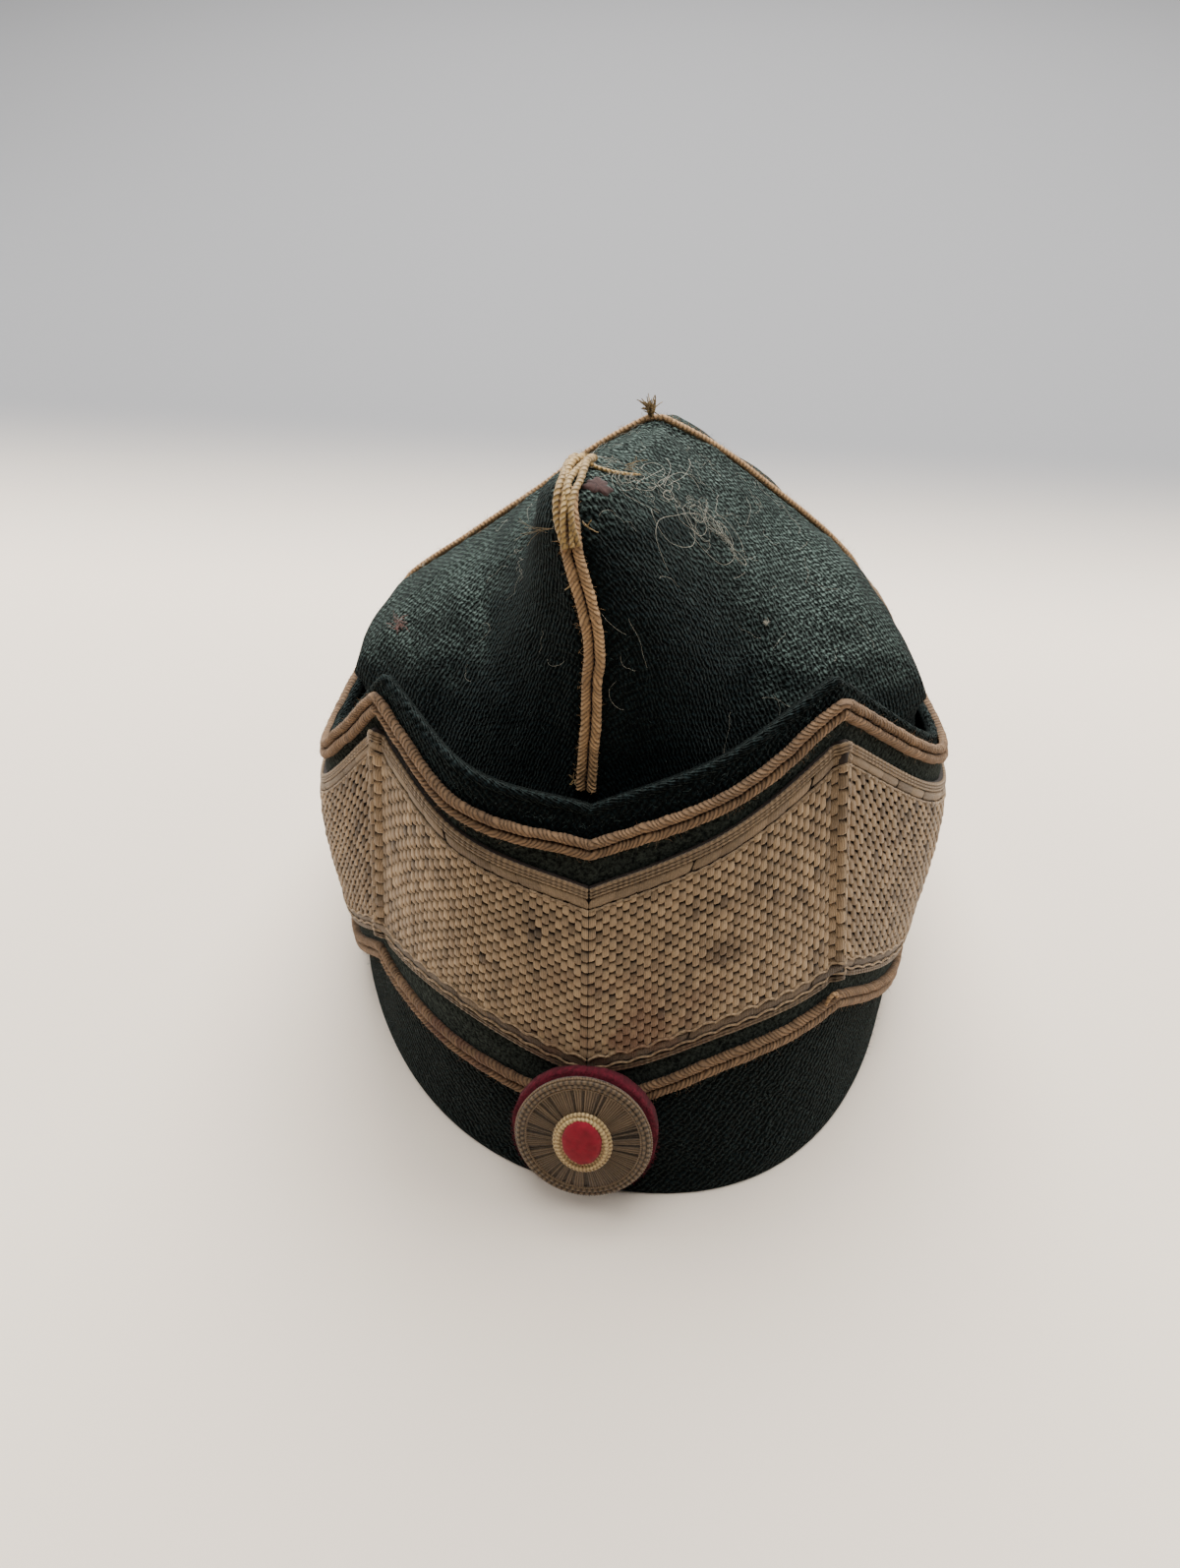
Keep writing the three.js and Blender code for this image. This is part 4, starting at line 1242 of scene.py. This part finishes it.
class Cockade:
    """The rosette, laid out by angle and radius on the face of its pad."""

    def __init__(self):
        front = np.array(FRONT)
        height = np.array(COCKADE_HEIGHT)
        self.dice = np.random.default_rng(71)
        self.out = turn_up_out(front, height)
        self.up = turn_up_up(front, height)
        self.aside = np.cross(self.up, self.out)
        self.middle = turn_up_face(front, height) + self.out * (COCKADE_STAND_OFF + PAD_THICKNESS)

    def place(self, angle, radius, stretch, lift):
        across, rise, lift = np.broadcast_arrays(
            radius * np.cos(angle), stretch * radius * np.sin(angle), np.asarray(lift, float))
        flat = self.middle + self.aside * across[..., None] + self.up * rise[..., None]
        return flat + self.out * lift[..., None]

    def wall_lift(self, angle, radius):
        """Heights of the pad's foot, which stands off the wall behind it."""
        across = radius * np.cos(angle)
        rise = PAD_STRETCH * radius * np.sin(angle)
        per_degree = np.linalg.norm(rim_point(FRONT + 0.5) - rim_point(FRONT - 0.5))
        behind = turn_up_face(FRONT + across / per_degree, COCKADE_HEIGHT + rise * self.up[2])
        return COCKADE_STAND_OFF - (self.middle - behind) @ self.out

    def disc(self, name, points, material, node, tint):
        columns, rows = points.shape[:2]
        faces = grid_faces(columns, rows, wrap=True).tolist()
        faces.append(row_face(columns, rows, rows - 1))
        faces.append(row_face(columns, rows, 0)[::-1])
        add_mesh(name, points, faces, material, (node,), tint=tint)

    def cords(self, name, material, nodes, slot, rows):
        cords = Bundle()
        angle = spread_angles(540)[:, 0]
        for radius, stretch, lift, wire, turns, shade in rows:
            path = self.place(angle, radius, stretch, lift)
            ways, across = path_frame(path, np.repeat(self.out[None], len(path), axis=0), closed=True)
            shape = tube(path, ways, across, wire, WIRE_SIDES, closed=True, twist=angle * turns, ridge=0.2)
            tint = np.clip(shade + 0.45 * np.sin(angle * turns), 0, 1)
            cords.add(shape, np.repeat(tint, WIRE_SIDES))
        cords.piece(name, material, nodes, slot)

    def fuzz(self, name, material, slot, count, radii, stretch, lift, lengths, seed):
        dice = self.dice
        angle = dice.uniform(0, FULL_TURN, count)
        roots = self.place(angle, dice.uniform(*radii, count), stretch, lift)
        ways = self.place(angle, 1.0, 1.0, 0.0) - self.middle + self.out * dice.uniform(0.1, 0.9, (count, 1))
        ways = ways + dice.normal(0, 0.5, (count, 3))
        points, faces = fibres(roots, ways, dice.uniform(*lengths, count), 0.035, 0.3, 3, seed)
        add_mesh(name, points, faces, material, (), tint=dice.uniform(0.3, 1, len(points)))

    def pad(self):
        angle = spread_angles(240)
        radius = PAD["radius"][None, :]
        lift = PAD["lift"] + 0 * angle
        lift[:, :1] = self.wall_lift(angle, radius[:, :1])
        uneven = 0.08 * np.sin(angle * 7) + 0.05 * np.sin(angle * 19 + 1)
        points = self.place(angle, radius + uneven * (radius > 13), PAD_STRETCH, lift)
        tint = self.dice.uniform(0.2, 0.9, points.shape[:2])
        self.disc("cockade_pad", points, maroon_wool, "cockade_base", tint)
        self.fuzz("cockade_pad_fuzz", maroon_wool, "maroon_wool", 1500, (14.3, 15.3), PAD_STRETCH, -0.2,
                  (0.4, 1.0), 72)

    def threads(self):
        angle = spread_angles(RADIAL_THREADS * RADIAL_STEPS)
        radius = np.concatenate([[14.1, 14.25, 14.1], np.linspace(13.6, 5.4, 12), [3.5]])[None, :]
        dome = np.concatenate([[0.25, 0.8, 1.2], np.linspace(1.4, 2.3, 12), [2.3]])[None, :]
        number = np.floor(angle * RADIAL_THREADS / FULL_TURN).astype(int) % RADIAL_THREADS
        sunk = self.dice.choice([0.0, 1.0], RADIAL_THREADS, p=[1 - SUNK_SHARE, SUNK_SHARE])[number]
        wave = np.abs(np.sin(angle * RADIAL_THREADS / 2)) ** 0.6
        fade = smooth_step(radius, 5.0, 7.0) * (radius < 13.7)
        relief = (RADIAL_RISE * (wave - 0.6) - SUNK_DEPTH * sunk) * fade
        points = self.place(angle, radius, DISC_STRETCH, dome + relief)
        # Painted shade between the radial threads and on the sunk ones; the disc is also darker towards its
        # lower side.
        shade = self.dice.uniform(0.35, 0.9, RADIAL_THREADS)[number] * (0.05 + 0.95 * wave)
        shade = shade * (1 - 0.85 * sunk) * (0.86 + 0.18 * np.sin(angle)) + 0 * radius
        self.disc("cockade_radial_threads", points, silver_thread, "cockade_disc", shade)

    def felt(self):
        angle = spread_angles(96)
        radius = FELT["radius"][None, :]
        uneven = 0.05 * np.sin(angle * 11) * (radius > 3)
        points = self.place(angle, radius + uneven, FELT_STRETCH, FELT["lift"])
        points = points + 0.07 * ripple(points, 1.6, 73)[..., None] * self.out + FELT_RISE * self.up
        shade = 0.5 + 0.12 * ripple(points, 2.5, 75)
        self.disc("cockade_felt_centre", points, red_felt, "cockade_centre", shade)
        self.fuzz("cockade_felt_fuzz", red_felt, "red_felt", 350, (0.5, 4.0), FELT_STRETCH, 3.9,
                  (0.3, 0.7), 74)

    def build(self):
        self.pad()
        self.threads()
        self.cords("cockade_rim_cords", silver_thread, (), "silver_thread", RIM_CORDS)
        self.cords("cockade_twisted_ring", gold_thread, ("cockade_ring",), "gold_thread", RING_CORDS)
        self.felt()


# Lint: hairs along the fold of the crown, stray hairs all over, and two small tufts.

HAIR_STEPS = 30
STRAY_HAIRS = 90

# Hairs along the fold: name, count, radius, greatest length and curl.
FOLD_HAIRS = (("fold_hairs", 30, 0.027, 26, 0.17), ("fold_fluff", 60, 0.016, 7, 0.14))

# Tufts: name, bearing, part of the way down, strands, length and material.
TUFTS = (
    ("pink_pill", -54.0, 0.576, 60, 3.4, pink_lint),
    ("white_speck", 30.0, 0.444, 26, 1.3, pale_hair),
)


def crown_patch_scale(bearing, down):
    """Millimetres for each degree of bearing and each whole rib down, at spots on the crown."""
    down_step = 0.01
    here = crown_face(bearing, down)
    across = np.linalg.norm(crown_face(bearing + 1.0, down) - here, axis=-1)
    along = np.linalg.norm(crown_face(bearing, down + down_step) - here, axis=-1) / down_step
    return across, along


def crown_hairs(name, bearing, down, length, curl, radius, seed):
    """Hairs lying on the crown from spots on it, with their lengths and how much they curl."""
    dice = np.random.default_rng(seed)
    count = len(bearing)
    across_scale, down_scale = crown_patch_scale(bearing, down)
    heading = dice.uniform(0, FULL_TURN, (count, 1))
    angle = heading + np.cumsum(dice.normal(0, 0.06, (count, HAIR_STEPS)) + curl[:, None], axis=1)
    step = length[:, None] / HAIR_STEPS
    bearings = bearing[:, None] + np.cumsum(np.cos(angle), axis=1) * step / across_scale[:, None]
    downs = down[:, None] + np.cumsum(np.sin(angle), axis=1) * step / down_scale[:, None]
    downs = np.clip(downs, 0.01, 0.66)
    out = crown_out(bearings, downs)
    lift = 0.5 + 0.6 * np.abs(np.sin(np.linspace(0, 5, HAIR_STEPS) + dice.uniform(0, 3, (count, 1))))
    paths = crown_face(bearings, downs) + out * lift[..., None]
    points, faces = joined([tube(path, *path_frame(path, ways), radius, 4) for path, ways in zip(paths, out)])
    add_mesh(name, points, faces, pale_hair, (), tint=dice.uniform(0.4, 1, len(points)))


def lint():
    dice = np.random.default_rng(81)
    for name, count, radius, longest, curl in FOLD_HAIRS:
        bearing = dice.uniform(0, 30, count)
        down = 0.262 + 0.0027 * bearing + dice.normal(0, 0.018, count)
        lengths = dice.uniform(0.3, 1, count) * longest
        crown_hairs(name, bearing, down, lengths, dice.normal(0, curl, count), radius, 82)
    bearing = dice.uniform(-85, 85, STRAY_HAIRS)
    down = dice.uniform(0.1, 0.6, STRAY_HAIRS)
    lengths = dice.uniform(2, 10, STRAY_HAIRS)
    crown_hairs("stray_hairs", bearing, down, lengths, dice.normal(0, 0.06, STRAY_HAIRS), 0.016, 83)
    for name, bearing, down, strands, length, material in TUFTS:
        roots = crown_spot(bearing, down, 0.4) + dice.normal(0, length * 0.14, (strands, 3))
        lengths = dice.uniform(0.4, 1.0, strands) * length
        points, faces = fibres(roots, dice.normal(size=(strands, 3)), lengths, 0.06, 0.5, 7, 84)
        add_mesh(name, points, faces, material, (), tint=dice.uniform(0.3, 1, len(points)))


NAP_COUNT = 3200


def wool_nap():
    """Short fibres that stand off the wool all over."""
    dice = np.random.default_rng(91)
    bearing = dice.uniform(-180, 180, NAP_COUNT)
    down = np.sqrt(dice.uniform(0, 1, NAP_COUNT)) * 0.64
    turn = dice.uniform(-179, 179, NAP_COUNT)
    low = dice.uniform(0, 1, NAP_COUNT) < 0.75
    below = (section(turn, "braid_foot") - COVER_MARGIN) * dice.uniform(0.03, 1, NAP_COUNT)
    above = section(turn, "braid_top") + COVER_MARGIN + 2 * dice.uniform(0, 1, NAP_COUNT)
    height = np.minimum(np.where(low, below, above), section(turn, "height"))
    roots = np.concatenate([crown_face(bearing, down), turn_up_face(turn, height)])
    ways = np.concatenate([crown_out(bearing, down), turn_up_out(turn, height)])
    ways = ways + dice.normal(0, 0.7, ways.shape)
    ways[:, 2] = np.where(roots[:, 2] < 4, np.abs(ways[:, 2]), ways[:, 2])
    points, faces = fibres(roots, ways, dice.uniform(0.5, 1.4, len(roots)), 0.022, 0.4, 3, 92)
    points[:, 2] = np.maximum(points[:, 2], 0)
    add_mesh("wool_nap", points, faces, nap_fibre, (), tint=dice.uniform(0, 1, len(points)))


# Frayed ends: gold strands plaited over the tip, loose threads, a loop of braid and a worn spot.

STRAND_SIDES = 8
TIP_STRANDS = 4
TIP_DOWNS = (0.258, 0.425)
LOOP_TURN = 39.0
LOOP_RADIUS = 0.45
WORN_BEARING = 0.0
WORN_DOWN = 0.322
WORN_HALF_WIDTH = 3.0
WORN_HALF_HEIGHT = 2.2
WORN_COLUMNS = 40
WORN = table(("radius", "lift"), [(1, -0.1), (0.85, 0.8), (0.55, 1.0), (0.2, 1.0)])

# Loose threads: bearing, part of the way down, direction, strands, length, radius and curl.
LOOSE_THREADS = (
    (FRONT_SEAM, 0.262, (0.2, 0.4, 0.9), 14, 2.6, 0.05, 0.25),
    (4.0, 0.262, (1.0, 0.1, 0.2), 12, 4.0, 0.05, 0.25),
    (-3.0, 0.39, (0.8, -0.4, -0.4), 3, 3.4, 0.2, 0.35),
    (FRONT_SEAM, 0.455, (0.1, -0.5, -0.9), 3, 4.6, 0.26, 0.3),
    (-8.0, 0.4, (-0.9, -0.2, 0.1), 7, 6.0, 0.03, 0.12),
    (-6.6, 0.648, (-0.9, -0.3, 0.2), 7, 1.8, 0.16, 0.2),
    (-70.0, 0.012, (-0.1, 0.2, 1.0), 34, 3.8, 0.22, 0.12),
)


def tip_strands():
    strands = Bundle()
    downs = np.linspace(*TIP_DOWNS, 110)
    run = np.linspace(0, 1, len(downs))
    seam = np.full(len(downs), float(FRONT_SEAM))
    middle = crown_face(seam, downs)
    ways, across = path_frame(middle, crown_out(seam, downs))
    for strand in range(TIP_STRANDS):
        weave = (strand - 1.5) * 1.2 * (1 - 0.3 * run) + 0.35 * np.cos(run * 9 + strand * 2)
        over = 1.5 + 0.9 * smooth_step(run, 0.35, 0.6) + 0.3 * np.sin(run * 10.4 + strand * math.pi)
        path = middle + across * weave[:, None] + ways * over[:, None]
        radius = 0.8 - 0.35 * run
        shape = tube(path, *path_frame(path, ways), radius, STRAND_SIDES, twist=run * 90, ridge=0.12)
        tint = np.full(len(run) * STRAND_SIDES, 0.55 + 0.12 * (strand % 3))
        strands.add(shape, tint, twisted_place(run * 17, STRAND_SIDES, 1.6))
    run = np.linspace(0, 1, 40)
    bearing = FRONT_SEAM - 1 + 13 * run
    down = 0.262 + 0.02 * np.sin(run * 3)
    out = crown_out(bearing, down)
    path = crown_face(bearing, down) + out * (1.1 - 0.4 * run)[:, None]
    shape = tube(path, *path_frame(path, out), 0.6 - 0.4 * run, STRAND_SIDES, twist=run * 50, ridge=0.12)
    tint = np.full(len(run) * STRAND_SIDES, 0.75)
    strands.add(shape, tint, twisted_place(run * 12, STRAND_SIDES, 1.4))
    strands.piece("tip_strands", gold_braid, (), "tan_braid")


def loose_threads(dice):
    loose = []
    for bearing, down, way, strands, length, radius, curl in LOOSE_THREADS:
        roots = crown_spot(bearing, down, 1.2) + dice.normal(0, 0.35, (strands, 3))
        ways = np.array(way) + dice.normal(0, 0.2, (strands, 3))
        lengths = dice.uniform(0.6, 1.1, strands) * length
        loose.append(fibres(roots, ways, lengths, radius, curl, 7, int(dice.integers(1000))))
    points, faces = joined(loose)
    place = dice.uniform(0, 5, (len(points), 2))
    tint = dice.uniform(0.5, 1, len(points))
    add_mesh("loose_threads", points, faces, gold_braid, (), place, tint=tint)


def braid_end_loop():
    run = np.linspace(0, math.pi, 24)
    bow = np.sin(run)[:, None]
    spot = np.array(LOOP_TURN)
    height = section(spot, "braid_foot")
    out = turn_up_out(spot, height)
    upward = turn_up_up(spot, height)
    path = turn_up_face(spot, height) + 1.6 * np.cos(run)[:, None] * np.cross(upward, out)
    path = path + (1 + 2.6 * bow) * upward + (1.5 + 0.9 * bow) * out
    ways = np.repeat(out[None], len(run), axis=0)
    points, faces = tube(path, *path_frame(path, ways), LOOP_RADIUS, STRAND_SIDES)
    place = twisted_place(run * 2, STRAND_SIDES, 1.2)
    tint = np.full(len(points), 0.8)
    add_mesh("braid_end_loop", points, faces, front_thread, (), place, tint=tint)


def worn_spot(dice):
    across_scale, down_scale = crown_patch_scale(WORN_BEARING, WORN_DOWN)
    angle = spread_angles(WORN_COLUMNS)
    ragged = 1 + 0.16 * np.sin(angle * 3) + 0.14 * np.sin(angle * 7 + 1)
    radius = ragged * WORN["radius"]
    bearings = WORN_BEARING + WORN_HALF_WIDTH * radius * np.cos(angle) / across_scale
    downs = WORN_DOWN + WORN_HALF_HEIGHT * radius * np.sin(angle) / down_scale
    points = crown_face(bearings, downs) + crown_out(bearings, downs) * WORN["lift"][None, :, None]
    columns, rows = points.shape[:2]
    faces = grid_faces(columns, rows, wrap=True, flip=True).tolist()
    faces.append(row_face(columns, rows, rows - 1)[::-1])
    tint = dice.uniform(0.2, 0.9, points.shape[:2])
    add_mesh("worn_spot", points, faces, worn_wool, (), tint=tint)


def frayed_ends():
    dice = np.random.default_rng(101)
    tip_strands()
    loose_threads(dice)
    braid_end_loop()
    worn_spot(dice)


# Floor, light and camera, in metres apart from the camera's spot.

FLOOR_HALF_SIZE = 6.0
LIGHT_TONE = (1.0, 0.99, 0.97)

# Area lights: name, spot, height of the point aimed at, size and power.
LIGHTS = (
    ("key", (0.0, 0.8, 1.0), 0.05, 1.1, 44.0),
    ("top", (0.0, -0.05, 1.3), 0.05, 0.8, 9.0),
    ("left_card", (-0.55, 0.12, 0.38), 0.08, 0.5, 2.7),
    ("right_card", (0.55, 0.12, 0.38), 0.08, 0.5, 2.7),
)
CAMERA_SPOT = np.array([13.8, -221.8, 245.0])
CAMERA_YAW = 6.2
CAMERA_PITCH = 45.0
CAMERA_LENS = 27.1
CAMERA_SENSOR = 36.0
CAMERA_NEAREST = 0.01


def floor():
    nodes = Nodes("pale_floor")
    far = nodes.ramp(nodes.axes(nodes.position())["Y"], 0.1, 0.24)
    nodes.bump(nodes.noise(180.0), 0.15, 0.3)
    tone = nodes.mix(far, colour(240, 226, 209), colour(128, 128, 130))
    mesh = bpy.data.meshes.new("floor")
    corners = [(x * FLOOR_HALF_SIZE, y * FLOOR_HALF_SIZE, 0) for x, y in ((-1, -1), (1, -1), (1, 1), (-1, 1))]
    mesh.from_pydata(corners, [], [(0, 1, 2, 3)])
    mesh.materials.append(nodes.finish(tone, 0.6, specular=0.2))
    piece = bpy.data.objects.new("floor", mesh)
    bpy.context.collection.objects.link(piece)


def world_light():
    """A soft surround, brighter behind the cap than in front of it."""
    world = bpy.data.worlds.new("studio")
    world.use_nodes = True
    tree = world.node_tree
    background = tree.nodes["Background"]
    background.inputs["Strength"].default_value = 1.0
    direction = tree.nodes.new("ShaderNodeTexCoord")
    axes = tree.nodes.new("ShaderNodeSeparateXYZ")
    tone = tree.nodes.new("ShaderNodeMapRange")
    for name, number in (("From Min", -0.6), ("From Max", 0.6), ("To Min", 0.06), ("To Max", 0.4)):
        tone.inputs[name].default_value = number
    tree.links.new(direction.outputs["Generated"], axes.inputs[0])
    tree.links.new(axes.outputs["Y"], tone.inputs["Value"])
    tree.links.new(tone.outputs["Result"], background.inputs["Color"])
    bpy.context.scene.world = world


def lights():
    world_light()
    for name, spot, aim, size, power in LIGHTS:
        light = bpy.data.lights.new(name, "AREA")
        light.shape = "SQUARE"
        light.size = size
        light.energy = power
        light.color = LIGHT_TONE
        lamp = bpy.data.objects.new(name, light)
        lamp.location = spot
        ahead = Vector((0, 0, aim)) - Vector(spot)
        lamp.rotation_euler = ahead.to_track_quat("-Z", "Y").to_euler()
        bpy.context.collection.objects.link(lamp)


def camera():
    lens = bpy.data.cameras.new("photo_camera")
    lens.lens = CAMERA_LENS
    lens.sensor_width = CAMERA_SENSOR
    lens.clip_start = CAMERA_NEAREST
    body = bpy.data.objects.new("photo_camera", lens)
    yaw = math.radians(CAMERA_YAW)
    pitch = math.radians(CAMERA_PITCH)
    level = Vector((-math.sin(yaw), math.cos(yaw), 0))
    ahead = level * math.cos(pitch) - Vector((0, 0, 1)) * math.sin(pitch)
    body.location = Vector((CAMERA_SPOT + SHIFT) * MILLIMETRE)
    body.rotation_euler = ahead.to_track_quat("-Z", "Y").to_euler()
    bpy.context.collection.objects.link(body)
    bpy.context.scene.camera = body


crown()
turn_up(crease_turns(540))
turn_up_edge(crease_turns(540))
laces()
soutaches()
piping()
Cockade().build()
lint()
wool_nap()
frayed_ends()
floor()
lights()
camera()
